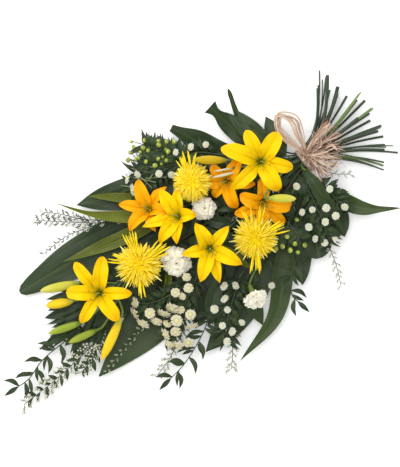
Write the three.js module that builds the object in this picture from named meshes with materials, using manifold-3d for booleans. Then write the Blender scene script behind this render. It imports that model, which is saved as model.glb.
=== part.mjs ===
/**
 * A hand-tied flower sheaf, laid on its back: yellow lilies and spider chrysanthemums, white carnations,
 * daisies, green berries and fine sprays over broad leaves, all bound with raffia near the cut ends.
 *
 * Millimetres, +Z up. The origin is the middle of the binding's flat underside, +X runs along the sheaf
 * towards the flowers and -X towards the cut ends. Every stem and leaf stalk passes through the binding
 * in a place of its own: the leaf stalks in one row at the bottom, and the stems in four layers on top.
 * Low layers carry what reaches furthest, so that no stem has to cross another.
 */
import * as THREE from "three";
import { mergeVertices } from "three/addons/utils/BufferGeometryUtils.js";
import Module from "manifold-3d";

const wasm = await Module();
wasm.setup();

// Driving dimensions, in millimetres and degrees.
const CLEARANCE = 0.4;
const SEAT = Math.cos(Math.PI / 5);
const BINDING_LENGTH = 18;
const BINDING_WALL = 2.1;
const WRAPS = 3;
const WRAP_RELIEF = 0.7;
const CUT_REACH = [104, 150];
const CUT_FAN = [-38, 44];
const CUT_RISE = 1.45;
const LEAF_STALK = 2.6;
const LEAF_THICKNESS = 1.3;
const LEAF_CHANNEL = 2.4;
const LAYER_LIFT = 9;
const LIFT_REACH = 64;
const PEDICEL_RADIUS = 1.9;
const JOINT_TOLERANCE = 0.2;
const STEM_DIAMETER = {
  lily: 7,
  chrysanthemum: 6,
  carnation: 4.5,
  daisy: 4.5,
  berry: 4,
  leaf: 3,
  ruscus: 3,
  grass: 2.4,
};

const COLOURS = {
  lily: [0xffd000, 0.5],
  lilyDeep: [0xf5a800, 0.5],
  lilyBud: [0xe2c83a, 0.5],
  chrysanthemum: [0xffdf10, 0.6],
  white: [0xf4efe4, 0.7],
  daisy: [0xe3e8d2, 0.7],
  leafDark: [0x2c4a2b, 0.4],
  leafLight: [0x7f8f2c, 0.45],
  stem: [0x47622f, 0.55],
  berry: [0xa9bb3c, 0.35],
  grass: [0x8b9a7a, 0.8],
  raffia: [0xd9b48f, 0.8],
};

/**
 * Broad leaves, in their order across the binding. Each line runs along the middle of the blade to its tip,
 * at the leaf's own level: one leaf lies over another with room between them.
 */
const BROAD_LEAVES = [
  { width: 30, line: [[26, -44, 6], [42, -88, 8], [48, -128, 12], [28, -188, 22]] },
  { width: 30, line: [[44, -48, 10], [68, -98, 12], [80, -146, 15], [79, -184, 24]], blunt: 0.8 },
  { width: 48, line: [[66, -56, 5], [106, -108, 6], [124, -152, 9], [158, -200, 16]] },
  { width: 60, line: [[90, -58, 10], [150, -106, 11], [205, -150, 11], [262, -178, 14]] },
  { width: 64, line: [[120, -62, 6], [210, -112, 6], [290, -160, 7], [372, -203, 10]] },
  { width: 80, line: [[140, -46, 0.7], [300, -92, 0.7], [430, -128, 0.7], [552, -148, 12]] },
  { width: 70, line: [[80, -14, 10.5], [220, -34, 11], [330, -36, 11], [450, -22, 11]] },
  { width: 94, line: [[160, 6, 0.7], [320, 26, 0.7], [430, 46, 0.7], [540, 60, 14]] },
  { width: 68, line: [[80, 12, 10.5], [180, 46, 11], [270, 76, 11], [352, 100, 11]] },
  { width: 62, line: [[110, 44, 6], [210, 108, 6], [290, 138, 7], [364, 150, 14]] },
  { width: 38, line: [[92, 56, 10.5], [165, 130, 11], [230, 176, 13], [326, 202, 20]] },
  { width: 50, line: [[62, 54, 6], [96, 92, 6], [126, 128, 8], [152, 170, 14]] },
  { width: 62, line: [[40, 46, 11], [62, 84, 12], [80, 116, 13], [98, 152, 18]] },
  { width: 48, line: [[28, 44, 5.5], [26, 78, 6], [26, 112, 8], [38, 152, 14]] },
  { width: 30, line: [[18, 46, 10], [4, 86, 14], [-20, 134, 20], [-72, 177, 34]] },
];

/**
 * Stems, each with its layer in the binding and the point where it ends: under a head, or at a spray's
 * first fork. Leaves, pedicels and twigs run on from there.
 */
const STEMS = [
  { name: "lily_stem_1", kind: "lily", layer: 0, end: [424, -50, 30] },
  { name: "lily_stem_2", kind: "lily", layer: 1, end: [234, -78, 32] },
  { name: "lily_stem_3", kind: "lily", layer: 2, end: [230, 6, 46] },
  { name: "lily_stem_4", kind: "lily", layer: 3, end: [44, -22, 44] },
  { name: "chrysanthemum_stem_1", kind: "chrysanthemum", layer: 1, end: [355, -46, 62] },
  { name: "chrysanthemum_stem_2", kind: "chrysanthemum", layer: 2, end: [186, -98, 60] },
  { name: "chrysanthemum_stem_3", kind: "chrysanthemum", layer: 2, end: [163, 48, 62] },
  { name: "carnation_stem_1", kind: "carnation", layer: 1, end: [300, -6, 42] },
  { name: "carnation_stem_2", kind: "carnation", layer: 2, end: [199, -52, 42] },
  { name: "carnation_stem_3", kind: "carnation", layer: 1, end: [228, 114, 46] },
  { name: "daisy_spray_1", kind: "daisy", layer: 0, end: [290, 36, 38] },
  { name: "daisy_spray_2", kind: "daisy", layer: 1, end: [232, 86, 34] },
  { name: "daisy_spray_3", kind: "daisy", layer: 3, end: [34, 42, 42] },
  { name: "daisy_spray_4", kind: "daisy", layer: 2, end: [118, -108, 32] },
  { name: "berry_spray_1", kind: "berry", layer: 1, end: [160, -126, 26] },
  { name: "berry_spray_2", kind: "berry", layer: 2, end: [100, 66, 50] },
  { name: "ruscus_spray_1", kind: "ruscus", layer: 0, end: [450, -20, 22] },
  { name: "ruscus_spray_2", kind: "ruscus", layer: 0, end: [290, 88, 24] },
  { name: "ruscus_spray_3", kind: "ruscus", layer: 2, end: [128, 124, 32] },
  { name: "grass_spray_1", kind: "grass", layer: 0, end: [300, -128, 18] },
  { name: "grass_spray_2", kind: "grass", layer: 0, end: [480, 6, 22] },
  { name: "grass_spray_3", kind: "grass", layer: 1, end: [286, 124, 28] },
  { name: "grass_spray_4", kind: "grass", layer: 0, end: [350, 80, 18] },
  { name: "grass_spray_5", kind: "grass", layer: 3, end: [54, 108, 36] },
  { name: "folded_leaf", kind: "leaf", layer: 3, end: [16, 14, 44] },
];

/** Lily blooms: each tepal has its direction round the facing, and the distance of its tip from the axis. */
const LILY_BLOOMS = [
  {
    stem: 4, foot: [70, -50, 72], facing: [-0.06, 0.06, 1], colour: "lily",
    tepals: [[10, 70], [85, 60], [124, 58], [195, 60], [251, 64], [292, 78]],
  },
  {
    stem: 1, foot: [440, -54, 46], facing: [0.1, -0.06, 1], colour: "lily",
    tepals: [[20, 62], [88, 60], [140, 60], [222, 66], [268, 70], [318, 58]],
  },
  {
    stem: 3, foot: [238, 10, 64], facing: [0, 0.06, 1], colour: "lily",
    tepals: [[-28, 52], [34, 62], [66, 64], [114, 64], [190, 52], [260, 52]],
  },
  {
    stem: 2, foot: [243, -66, 58], facing: [0.1, -0.2, 1], colour: "lily",
    tepals: [[-24, 68], [16, 58], [48, 50], [142, 34], [232, 50], [264, 58]],
  },
  {
    stem: 2, foot: [275, -108, 33], facing: [0.15, -0.35, 1], colour: "lilyDeep",
    tepals: [[-50, 58], [10, 52], [70, 44], [130, 44], [190, 52], [250, 58]],
  },
  {
    stem: 4, foot: [110, 4, 50], facing: [0.1, 0.42, 1], colour: "lilyDeep",
    tepals: [[-20, 56], [36, 54], [92, 58], [138, 50], [240, 46], [298, 48]],
  },
  {
    stem: 4, foot: [134, -62, 44], facing: [0.3, -0.05, 1], colour: "lilyDeep",
    tepals: [[10, 37], [72, 52], [135, 54], [195, 48], [272, 38], [322, 44]],
  },
];

const LILY_BUDS = [
  { stem: 1, foot: [440, 4, 52], tip: [515, 40, 48], girth: 19, colour: "lily" },
  { stem: 1, foot: [458, -92, 40], tip: [521, -126, 38], girth: 18, colour: "lilyBud" },
  { stem: 1, foot: [488, -74, 28], tip: [531, -99, 26], girth: 19, colour: "lilyDeep" },
  { stem: 4, foot: [114, -90, 70], tip: [158, -128, 92], girth: 17, colour: "lilyBud" },
  { stem: 4, foot: [100, 10, 106], tip: [64, 42, 108], girth: 16, colour: "leafLight" },
];

/** Small green buds and long leaves, which are one body with their lily stem. */
const GREEN_BUDS = [
  { stem: 1, foot: [498, -34, 36], tip: [560, -58, 30], girth: 14 },
  { stem: 1, foot: [486, -6, 34], tip: [542, -22, 30], girth: 14 },
];
const LILY_LEAVES = [
  { stem: 2, line: [[236, -80, 30], [318, -130, 25], [398, -228, 26]], width: 27 },
  { stem: 2, line: [[236, -80, 30], [296, -154, 22], [346, -202, 22]], width: 20 },
  { stem: 2, line: [[238, -78, 31], [350, -104, 32], [456, -140, 26]], width: 26 },
  { stem: 3, line: [[228, 8, 44], [213, 50, 52], [204, 90, 50]], width: 17 },
];

const CHRYSANTHEMUM_HEADS = [
  { facing: [-0.05, -0.08, 1], reach: 57, florets: 42 },
  { facing: [0.05, -0.15, 1], reach: 46, florets: 38 },
  { facing: [0.08, 0.12, 1], reach: 54, florets: 42 },
];
const CARNATION_HEADS = [
  { facing: [0.05, 0, 1], reach: 28 },
  { facing: [0, 0.1, 1], reach: 26 },
  { facing: [0.25, 0.8, 0.55], reach: 26 },
];

const DAISY_SPRAYS = [
  {
    branches: [
      [[290, 36, 38], [330, 32, 46], [374, 22, 46], [406, 2, 46]],
      [[290, 36, 38], [326, 54, 44], [362, 72, 42], [404, 86, 42]],
    ],
    heads: [
      [313, 42, 66], [337, 33, 68], [340, 80, 58], [365, 72, 62], [360, 54, 60], [395, 30, 60],
      [409, 0, 48], [418, 34, 48], [402, 58, 52], [408, 86, 46], [395, 108, 40], [378, 120, 40],
      [385, 84, 56], [362, 96, 50],
    ],
  },
  {
    branches: [[[232, 86, 34], [262, 106, 38], [296, 130, 38], [322, 160, 34]]],
    heads: [
      [196, 134, 30], [280, 150, 42], [303, 152, 44], [285, 116, 50], [310, 132, 48],
      [246, 92, 54], [262, 80, 58], [276, 98, 54], [302, 100, 48], [322, 160, 38],
    ],
  },
  {
    branches: [
      [[34, 42, 42], [42, 70, 47], [52, 104, 46], [64, 136, 44]],
      [[34, 42, 42], [10, 66, 40], [8, 106, 38]],
    ],
    heads: [
      [5, 110, 46], [28, 112, 52], [32, 90, 58], [49, 108, 56], [78, 96, 56], [53, 76, 64],
      [70, 68, 66], [5, 68, 54], [48, 26, 68], [55, 143, 46], [74, 136, 46], [82, 120, 46],
    ],
  },
  {
    branches: [[[118, -108, 32], [146, -136, 36], [196, -146, 40]]],
    heads: [
      [124, -136, 42], [174, -160, 44], [147, -150, 42], [206, -134, 50], [166, -120, 48], [222, -150, 44],
    ],
  },
];

const BERRY_SPRAYS = [
  {
    branches: [
      [[160, -126, 26], [176, -152, 32], [190, -176, 32], [210, -210, 26]],
      [[160, -126, 26], [196, -152, 32], [226, -178, 30], [246, -203, 26]],
    ],
    berries: [
      [174, -186, 36], [189, -190, 38], [203, -213, 28], [226, -217, 28], [249, -205, 28],
      [226, -182, 38], [196, -160, 42], [206, -172, 38], [164, -176, 36], [210, -195, 36],
      [237, -197, 32], [214, -204, 34], [184, -170, 40], [218, -166, 40],
    ],
    leaves: [
      [[176, -152, 32], [152, -176, 26]], [[190, -176, 32], [178, -204, 26]],
      [[226, -178, 30], [256, -186, 26]], [[196, -152, 32], [230, -158, 28]],
    ],
  },
  {
    branches: [
      [[100, 66, 50], [116, 82, 54], [130, 104, 54]],
      [[100, 66, 50], [102, 92, 54], [112, 116, 52]],
    ],
    berries: [
      [116, 103, 62], [130, 106, 62], [119, 84, 68], [140, 78, 66], [136, 92, 64],
      [104, 116, 58], [86, 72, 64], [122, 118, 58], [148, 88, 60],
    ],
    leaves: [
      [[116, 82, 54], [146, 100, 46]], [[102, 92, 54], [84, 112, 44]], [[112, 116, 52], [124, 140, 42]],
    ],
  },
];

/** Twigs with pairs of pointed leaves of a length, shorter towards the end. */
const RUSCUS_TWIGS = [
  {
    line: [[450, -20, 22], [530, -27, 15], [600, -28, 14], [640, -18, 13], [668, -20, 12]],
    pairs: 7,
    leaf: 38,
  },
  { line: [[290, 88, 24], [350, 122, 24], [410, 142, 20], [446, 146, 16]], pairs: 5, leaf: 38 },
  { line: [[128, 124, 32], [150, 154, 32], [168, 180, 28]], pairs: 2, leaf: 46 },
];

const GRASS_TWIGS = [
  [
    [[300, -128, 18], [350, -160, 17], [400, -196, 16], [452, -236, 14]],
    [[300, -128, 18], [370, -154, 17], [425, -172, 15], [474, -174, 12]],
  ],
  [
    [[480, 6, 22], [550, 12, 20], [610, 14, 18], [686, 12, 14]],
    [[480, 6, 22], [516, 24, 24], [556, 34, 22]],
  ],
  [[[286, 124, 28], [306, 152, 26], [326, 180, 24], [348, 203, 20]]],
  [[[350, 80, 18], [392, 104, 14], [424, 118, 12], [458, 126, 10]]],
  [[[54, 108, 36], [70, 142, 30], [82, 178, 26], [104, 226, 20]]],
];

/** The leaf on top of the bundle, in front of the binding. */
const FOLDED_LEAF = { line: [[19, 38, 50], [26, 84, 45]], width: 22 };

// The raffia: its knot on top of the binding, the tips of its frayed tails, and the loop's strands.
const KNOT = [-4, -8, 39];
const LOOP_STRANDS = 5;
const STRAND_THICKNESS = 0.9;
const TAIL_TIPS = [
  [-86, -10, 43], [-78, 4, 47], [-64, 20, 43], [-68, 32, 47], [-54, 44, 45], [-38, 54, 43], [-22, 60, 45],
  [-6, 54, 47],
];

const toVector = ([x, y, z]) => new THREE.Vector3(x, y, z);
const smoothLine = (points) => new THREE.CatmullRomCurve3(points.map(toVector), false, "centripetal");
const mix = (a, b, share) => a + (b - a) * share;
const UP = new THREE.Vector3(0, 0, 1);

/** A steady scatter: the same share from 0 to 1 each time for a whole number. */
function scatter(seed) {
  const wide = Math.sin(seed * 12.9898 + 4.1414) * 43758.5453;
  return wide - Math.floor(wide);
}

/** Reads a list of [share, value] pairs at a share between them. */
function readProfile(profile, share) {
  const next = profile.findIndex(([at]) => at >= share);
  if (next <= 0) return profile[next < 0 ? profile.length - 1 : 0][1];
  const [[from, low], [to, high]] = [profile[next - 1], profile[next]];
  return mix(low, high, (share - from) / (to - from));
}

/** A closed geometry as a solid, with its faces turned outwards. */
function solidOf(geometry) {
  const bare = new THREE.BufferGeometry().setAttribute("position", geometry.getAttribute("position"));
  const merged = mergeVertices(bare.setIndex(geometry.index), 1e-3);
  const vertProperties = merged.getAttribute("position").array;
  const triVerts = Uint32Array.from(merged.index.array);
  const solid = new wasm.Manifold(new wasm.Mesh({ numProp: 3, vertProperties, triVerts }));
  if (solid.volume() > 0) return solid;
  for (let i = 0; i < triVerts.length; i += 3) {
    [triVerts[i], triVerts[i + 1]] = [triVerts[i + 1], triVerts[i]];
  }
  return new wasm.Manifold(new wasm.Mesh({ numProp: 3, vertProperties, triVerts }));
}

/** One closed geometry from several that meet, without the slivers and pockets that the joints leave. */
function fuse(geometries) {
  const joined = wasm.Manifold.union(geometries.map(solidOf)).asOriginal().simplify(JOINT_TOLERANCE);
  const bodies = joined.decompose().filter((body) => body.volume() > 0);
  const { vertProperties, triVerts } = wasm.Manifold.compose(bodies).getMesh();
  return new THREE.BufferGeometry()
    .setAttribute("position", new THREE.BufferAttribute(vertProperties, 3))
    .setIndex(new THREE.BufferAttribute(triVerts, 1));
}

/**
 * A closed geometry over rings of points: a ring of one point is a tip, and end rings of several are capped.
 * The second half of each ring is split the other way, so that a thin blade's two faces match.
 */
function skin(rings) {
  const corners = rings.flat();
  const faces = [];
  const starts = [];
  let count = 0;
  for (const ring of rings) {
    starts.push(count);
    count += ring.length;
  }
  const cap = (start, size, turned) => {
    for (let j = 1; j + 1 < size; j++) {
      faces.push(turned ? [start, start + j + 1, start + j] : [start, start + j, start + j + 1]);
    }
  };
  cap(starts[0], rings[0].length, true);
  for (let i = 0; i + 1 < rings.length; i++) {
    const [here, there] = [rings[i].length, rings[i + 1].length];
    const sides = Math.max(here, there);
    for (let j = 0; j < sides; j++) {
      const k = (j + 1) % sides;
      const [a, b] = here > 1 ? [starts[i] + j, starts[i] + k] : [starts[i], starts[i]];
      const [c, d] = there > 1 ? [starts[i + 1] + j, starts[i + 1] + k] : [starts[i + 1], starts[i + 1]];
      if (here === 1) faces.push([a, d, c]);
      else if (there === 1) faces.push([a, b, c]);
      else if (j < sides / 2) faces.push([a, b, d], [a, d, c]);
      else faces.push([a, b, c], [b, d, c]);
    }
  }
  cap(starts.at(-1), rings.at(-1).length, false);
  return new THREE.BufferGeometry().setFromPoints(corners).setIndex(faces.flat());
}

/** The direction of a run of points at each of them. */
function directions(points) {
  return points.map((_, i) =>
    points[Math.min(i + 1, points.length - 1)].clone().sub(points[Math.max(i - 1, 0)]).normalize(),
  );
}

/** A round stalk through points, with a radius for each or one for all. A radius of nothing makes a tip. */
function stalk(points, radii, sides) {
  const alongs = directions(points);
  const across = Math.abs(alongs[0].z) > 0.9 ? new THREE.Vector3(1, 0, 0) : UP.clone();
  const rings = points.map((point, i) => {
    const along = alongs[i];
    across.addScaledVector(along, -across.dot(along)).normalize();
    const beside = along.clone().cross(across);
    const radius = Array.isArray(radii) ? radii[i] : radii;
    if (radius === 0) return [point];
    return Array.from({ length: sides }, (_, j) => {
      const angle = (2 * Math.PI * j) / sides;
      return point
        .clone()
        .addScaledVector(across, radius * Math.cos(angle))
        .addScaledVector(beside, radius * Math.sin(angle));
    });
  });
  return skin(rings);
}

/**
 * A thin blade along points, with a ridge down its middle on both faces. Each point has a width and a
 * thickness, and a channel: how far the edges stand above the middle. A width of nothing makes a tip.
 */
function blade(points, { width, thickness, channel }) {
  const alongs = directions(points);
  const rings = points.map((point, i) => {
    if (width[i] === 0) return [point];
    const beside = UP.clone().cross(alongs[i]).normalize();
    const out = alongs[i].clone().cross(beside);
    const edge = point.clone().addScaledVector(out, channel[i]);
    return [
      edge.clone().addScaledVector(beside, width[i] / 2),
      point.clone().addScaledVector(out, thickness[i] / 2),
      edge.clone().addScaledVector(beside, -width[i] / 2),
      point.clone().addScaledVector(out, -thickness[i] / 2),
    ];
  });
  return skin(rings);
}

/** A small pointed leaf from a stalk's middle to a tip, widest before its own middle. */
function smallLeaf(foot, tip, width) {
  const middle = foot.clone().lerp(tip, 0.45);
  middle.z += foot.distanceTo(tip) * 0.04;
  return blade([foot, middle, tip], {
    width: [2, width, 0],
    thickness: [1.2, 1.2, 0],
    channel: [0, 0, 0],
  });
}

/** The point at a share of the way along points, and the direction there. */
function onPoints(points, share) {
  const lengths = points.slice(1).map((point, i) => point.distanceTo(points[i]));
  let rest = share * lengths.reduce((sum, length) => sum + length, 0);
  let i = 0;
  while (i < lengths.length - 1 && rest > lengths[i]) {
    rest -= lengths[i];
    i++;
  }
  const along = points[i + 1].clone().sub(points[i]).normalize();
  return { foot: points[i].clone().addScaledVector(along, rest), along };
}

/** Turns a geometry so that its +Z faces a direction, and sets it on a point. */
function setOn(geometry, foot, facing) {
  const turn = new THREE.Quaternion().setFromUnitVectors(UP, facing.clone().normalize());
  return geometry.applyMatrix4(new THREE.Matrix4().compose(foot, turn, new THREE.Vector3(1, 1, 1)));
}

// The binding: the places of stems and leaf stalks in it, and the lines that they follow.

/** Places side by side for round things of these diameters, with room between, centred on nought. */
function placesFor(diameters) {
  const total = diameters.reduce((sum, diameter) => sum + diameter + CLEARANCE, -CLEARANCE);
  let edge = -total / 2;
  return diameters.map((diameter) => {
    const centre = edge + diameter / 2;
    edge += diameter + CLEARANCE;
    return centre;
  });
}

/** The part of its diameter that a five-sided stem takes up: it stands on a flat, and its flanks lean in. */
const snug = (stem) => ((1 + SEAT) / 2) * STEM_DIAMETER[stem.kind];

const bearing = (stem) => Math.atan2(stem.end[1], stem.end[0]);
const STALK_ROW = BINDING_WALL + CLEARANCE + LEAF_STALK / 2;
const leafPlaces = placesFor(BROAD_LEAVES.map(() => LEAF_STALK));
let layerFoot = STALK_ROW + LEAF_STALK / 2 + CLEARANCE;
for (const layer of [0, 1, 2, 3]) {
  const stems = STEMS.filter((stem) => stem.layer === layer).sort((a, b) => bearing(a) - bearing(b));
  const places = placesFor(stems.map(snug));
  stems.forEach((stem, i) => {
    const height = layerFoot + (SEAT * STEM_DIAMETER[stem.kind]) / 2;
    stem.door = new THREE.Vector3(BINDING_LENGTH / 2, places[i], height);
    stem.rank = i / (stems.length - 1);
  });
  layerFoot += Math.max(...stems.map(snug)) + CLEARANCE;
}

/** The points on the cut side of the binding, from the cut end to the binding's near face. */
function cutPoints(door, rank, seed) {
  const angle = THREE.MathUtils.degToRad(mix(...CUT_FAN, rank) + 3 * (scatter(seed) - 0.5));
  const reach = mix(...CUT_REACH, scatter(seed + 50));
  const near = door.clone().setX(-door.x);
  const end = new THREE.Vector3(
    near.x - reach * Math.cos(angle),
    near.y + reach * Math.sin(angle),
    LEAF_STALK / 2 + (near.z - STALK_ROW) * CUT_RISE + 1.5 * scatter(seed + 90),
  );
  const bend = near.clone().setX(near.x - 0.3 * reach);
  return new THREE.QuadraticBezierCurve3(end, bend, near).getPoints(2);
}

/**
 * The points of a stem: in through the binding, up over the leaves, along at its layer's level, and up to
 * its end. A stem with a head comes to it straight along the head's facing, and stops just short of it.
 */
function stemPoints(stem, facing) {
  const { door } = stem;
  const end = toVector(stem.end);
  const axis = facing ? toVector(facing).normalize() : null;
  const arrival = axis ? end.clone().addScaledVector(axis, -6) : end;
  const reach = Math.hypot(end.x, end.y);
  const points = [...cutPoints(door, stem.rank, STEMS.indexOf(stem)), door];
  if (reach < 1.8 * LIFT_REACH) {
    const forward = Math.max(mix(door.x, end.x, 0.4), door.x + 12);
    const bend = new THREE.Vector3(forward, mix(door.y, end.y, 0.1), mix(door.z, end.z, 0.2));
    points.push(...new THREE.QuadraticBezierCurve3(door, bend, arrival).getPoints(3).slice(1));
  } else {
    const lifted = end.clone().multiplyScalar(LIFT_REACH / reach);
    lifted.z = Math.min(door.z + LAYER_LIFT, end.z);
    const [leave, before] = [door.clone().setX(door.x + 20), lifted.clone().lerp(door, 0.35).setZ(lifted.z)];
    points.push(...new THREE.CubicBezierCurve3(door, leave, before, lifted).getPoints(2).slice(1));
    const low = end.clone().lerp(lifted, 24 / reach).setZ(lifted.z);
    if (axis) low.copy(arrival).addScaledVector(axis, -0.6 * (end.z - lifted.z));
    const level = lifted.clone().lerp(end, 0.6).setZ(lifted.z);
    points.push(...new THREE.CubicBezierCurve3(lifted, level, low, arrival).getPoints(4).slice(1));
  }
  if (axis) points.push(end.clone().addScaledVector(axis, -CLEARANCE));
  return points;
}

/** The outline round every stem and leaf stalk in the binding, at a distance from them. */
function bundleOutline(distance) {
  const rounds = STEMS.map(({ door, kind }) => [door.y, door.z, STEM_DIAMETER[kind] / 2]);
  rounds.push(...leafPlaces.map((place) => [place, STALK_ROW, LEAF_STALK / 2]));
  const points = rounds.flatMap(([y, z, radius]) =>
    Array.from({ length: 6 }, (_, i) => {
      const angle = (2 * Math.PI * (i + 0.5)) / 6;
      const out = (radius + distance) / Math.cos(Math.PI / 6);
      const across = (radius + distance) * Math.sign(Math.sin(angle));
      return new THREE.Vector2(y + out * Math.cos(angle), z + across);
    }),
  );
  points.sort((a, b) => a.x - b.x || a.y - b.y);
  const half = (list) => {
    const chain = [];
    for (const point of list) {
      while (chain.length > 1) {
        const [a, b] = chain.slice(-2);
        if (b.clone().sub(a).cross(point.clone().sub(b)) > 1e-6) break;
        chain.pop();
      }
      chain.push(point);
    }
    return chain.slice(0, -1);
  };
  return [...half(points), ...half(points.reverse())];
}

// Broad leaves.

const LEAF_OUTLINE = [[0, 0.07], [0.12, 0.4], [0.32, 0.86], [0.52, 1], [0.74, 0.84], [0.9, 0.46], [1, 0]];
const LEAF_STATIONS = [0.04, 0.17, 0.34, 0.52, 0.71, 0.87, 1];

/** A leaf with its stalk, in one skin from the cut end to the tip. */
function broadLeaf({ width, line, blunt = 0 }, index) {
  const door = new THREE.Vector3(BINDING_LENGTH / 2, leafPlaces[index], STALK_ROW);
  const cut = cutPoints(door, index / (BROAD_LEAVES.length - 1), index + 200);
  const first = toVector(line[0]);
  const forward = Math.max(mix(door.x, first.x, 0.45), door.x + 8);
  const bend = new THREE.Vector3(forward, mix(door.y, first.y, 0.15), STALK_ROW);
  const way = new THREE.QuadraticBezierCurve3(door, bend, first).getPoints(3).slice(0, 3);
  const stalkPoints = [...cut, ...way];
  const curve = smoothLine(line);
  const thickness = [2, ...LEAF_STATIONS.slice(1).map(() => LEAF_THICKNESS)];
  const bladePoints = LEAF_STATIONS.map((share, i) => {
    const point = curve.getPointAt(share);
    return point.setZ(Math.max(point.z, thickness[i] / 2));
  });
  const alongStalk = (value) => stalkPoints.map(() => value);
  return blade([...stalkPoints, ...bladePoints], {
    width: [
      ...alongStalk(LEAF_STALK),
      ...LEAF_STATIONS.map((share) => width * (share === 1 ? blunt : readProfile(LEAF_OUTLINE, share))),
    ],
    thickness: [...alongStalk(LEAF_STALK), ...thickness],
    channel: [...alongStalk(0), 1, ...LEAF_STATIONS.slice(1).map(() => LEAF_CHANNEL)],
  });
}

// Lilies.

const TEPAL_LINE = [[0.05, 0.06], [0.1, 0.2], [0.28, 0.42], [0.55, 0.56], [0.82, 0.53], [1, 0.38]];
const TEPAL_OUTLINE = [[0, 0.08], [0.25, 0.27], [0.5, 0.53], [0.78, 0.42], [1, 0]];
const TEPAL_STATIONS = [0, 0.25, 0.5, 0.78, 1];

function lilyBloom({ tepals }) {
  const size = tepals.reduce((sum, [, reach]) => sum + reach, 0) / tepals.length;
  const at = (angle, out, up) => new THREE.Vector3(out * Math.cos(angle), out * Math.sin(angle), up);
  // The throat has its corners between the tepals, and the filaments stand in the same directions.
  const gaps = tepals
    .map(([degrees]) => THREE.MathUtils.degToRad(degrees))
    .sort((a, b) => a - b)
    .map((angle, i, all) => (i < 5 ? (angle + all[i + 1]) / 2 : (angle + all[0]) / 2 + Math.PI));
  const ring = (out, up) => gaps.map((angle) => at(angle, out * size, up * size));
  const pieces = [skin([ring(0.04, 0), ring(0.09, 0.14), [at(0, 0, 0.2 * size)]])];
  tepals.forEach(([degrees, reach], i) => {
    const angle = THREE.MathUtils.degToRad(degrees);
    const outer = i % 2 === 0;
    const curve = new THREE.CatmullRomCurve3(
      TEPAL_LINE.map(([out, up]) => at(angle, out * reach, up * size * (outer ? 0.88 : 1))),
    );
    pieces.push(
      blade(TEPAL_STATIONS.map((share) => curve.getPointAt(share)), {
        width: TEPAL_STATIONS.map((share) => size * readProfile(TEPAL_OUTLINE, share) * (outer ? 0.84 : 1)),
        thickness: TEPAL_STATIONS.map(() => 1.5),
        channel: TEPAL_STATIONS.map((share) => (outer ? 1.6 : 3) * Math.sin(Math.PI * share)),
      }),
    );
    const filament = [[0.03, 0.1], [0.22, 0.68]];
    const points = filament.map(([out, up]) => at(gaps[i] + 0.2, out * size, up * size));
    pieces.push(stalk(points, [0.9, 1.5], 3));
  });
  pieces.push(stalk([at(0, 0, 0.1 * size), at(0, 0, 0.74 * size)], [1, 2.2], 3));
  return pieces;
}

const BUD_PROFILE = [[0, 0], [0.5, 0.02], [0.82, 0.22], [1, 0.52], [0.72, 0.84], [0, 1]];

function lilyBud({ foot, tip, girth }) {
  const length = toVector(foot).distanceTo(toVector(tip));
  const profile = BUD_PROFILE.map(([out, up]) => new THREE.Vector2((out * girth) / 2, up * length));
  return new THREE.LatheGeometry(profile, 6).rotateX(Math.PI / 2);
}

/** A pedicel from the end of a stem, which comes to a bloom or bud along its facing. */
function pedicel(end, foot, facing) {
  const axis = facing.clone().normalize();
  const arrival = foot.clone().addScaledVector(axis, -5);
  const push = Math.min(0.4 * end.distanceTo(arrival), 12);
  const leave = end.clone().lerp(arrival, 0.4).setZ(mix(end.z, arrival.z, 0.35));
  const below = arrival.clone().addScaledVector(axis, -push);
  const curve = new THREE.CubicBezierCurve3(end, leave, below, arrival);
  return stalk([...curve.getPoints(3), foot.clone().addScaledVector(axis, -CLEARANCE)], PEDICEL_RADIUS, 4);
}

const LILY_LEAF_OUTLINE = [[0, 0.25], [0.3, 0.92], [0.55, 1], [0.8, 0.6], [1, 0]];

function longLeaf({ line, width }) {
  const shares = [0, 0.15, 0.35, 0.6, 0.8, 1];
  const curve = smoothLine(line);
  return blade(shares.map((share) => curve.getPointAt(share)), {
    width: shares.map((share) => width * readProfile(LILY_LEAF_OUTLINE, share)),
    thickness: shares.map(() => 1.5),
    channel: shares.map(() => 2.6),
  });
}

function lilyStem(points, index) {
  const end = points.at(-1);
  const radius = STEM_DIAMETER.lily / 2;
  const pieces = [stalk(points, points.map((_, i) => radius - (0.8 * i) / points.length), 5)];
  const ofStem = (list) => list.filter(({ stem }) => stem === index);
  const carried = [...ofStem(LILY_BLOOMS), ...ofStem(LILY_BUDS), ...ofStem(GREEN_BUDS)];
  carried.forEach(({ foot, tip, facing }, i) => {
    const from = end.clone().lerp(points.at(-2), 0.25 * i);
    const axis = facing ? toVector(facing) : toVector(tip).sub(toVector(foot));
    pieces.push(pedicel(from, toVector(foot), axis));
  });
  for (const bud of ofStem(GREEN_BUDS)) {
    const axis = toVector(bud.tip).sub(toVector(bud.foot));
    pieces.push(setOn(lilyBud(bud), toVector(bud.foot).addScaledVector(axis, -0.03), axis));
  }
  pieces.push(...ofStem(LILY_LEAVES).map(longLeaf));
  return pieces;
}

// Spider chrysanthemums and carnations.

const GOLDEN_ANGLE = Math.PI * (3 - Math.sqrt(5));

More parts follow.
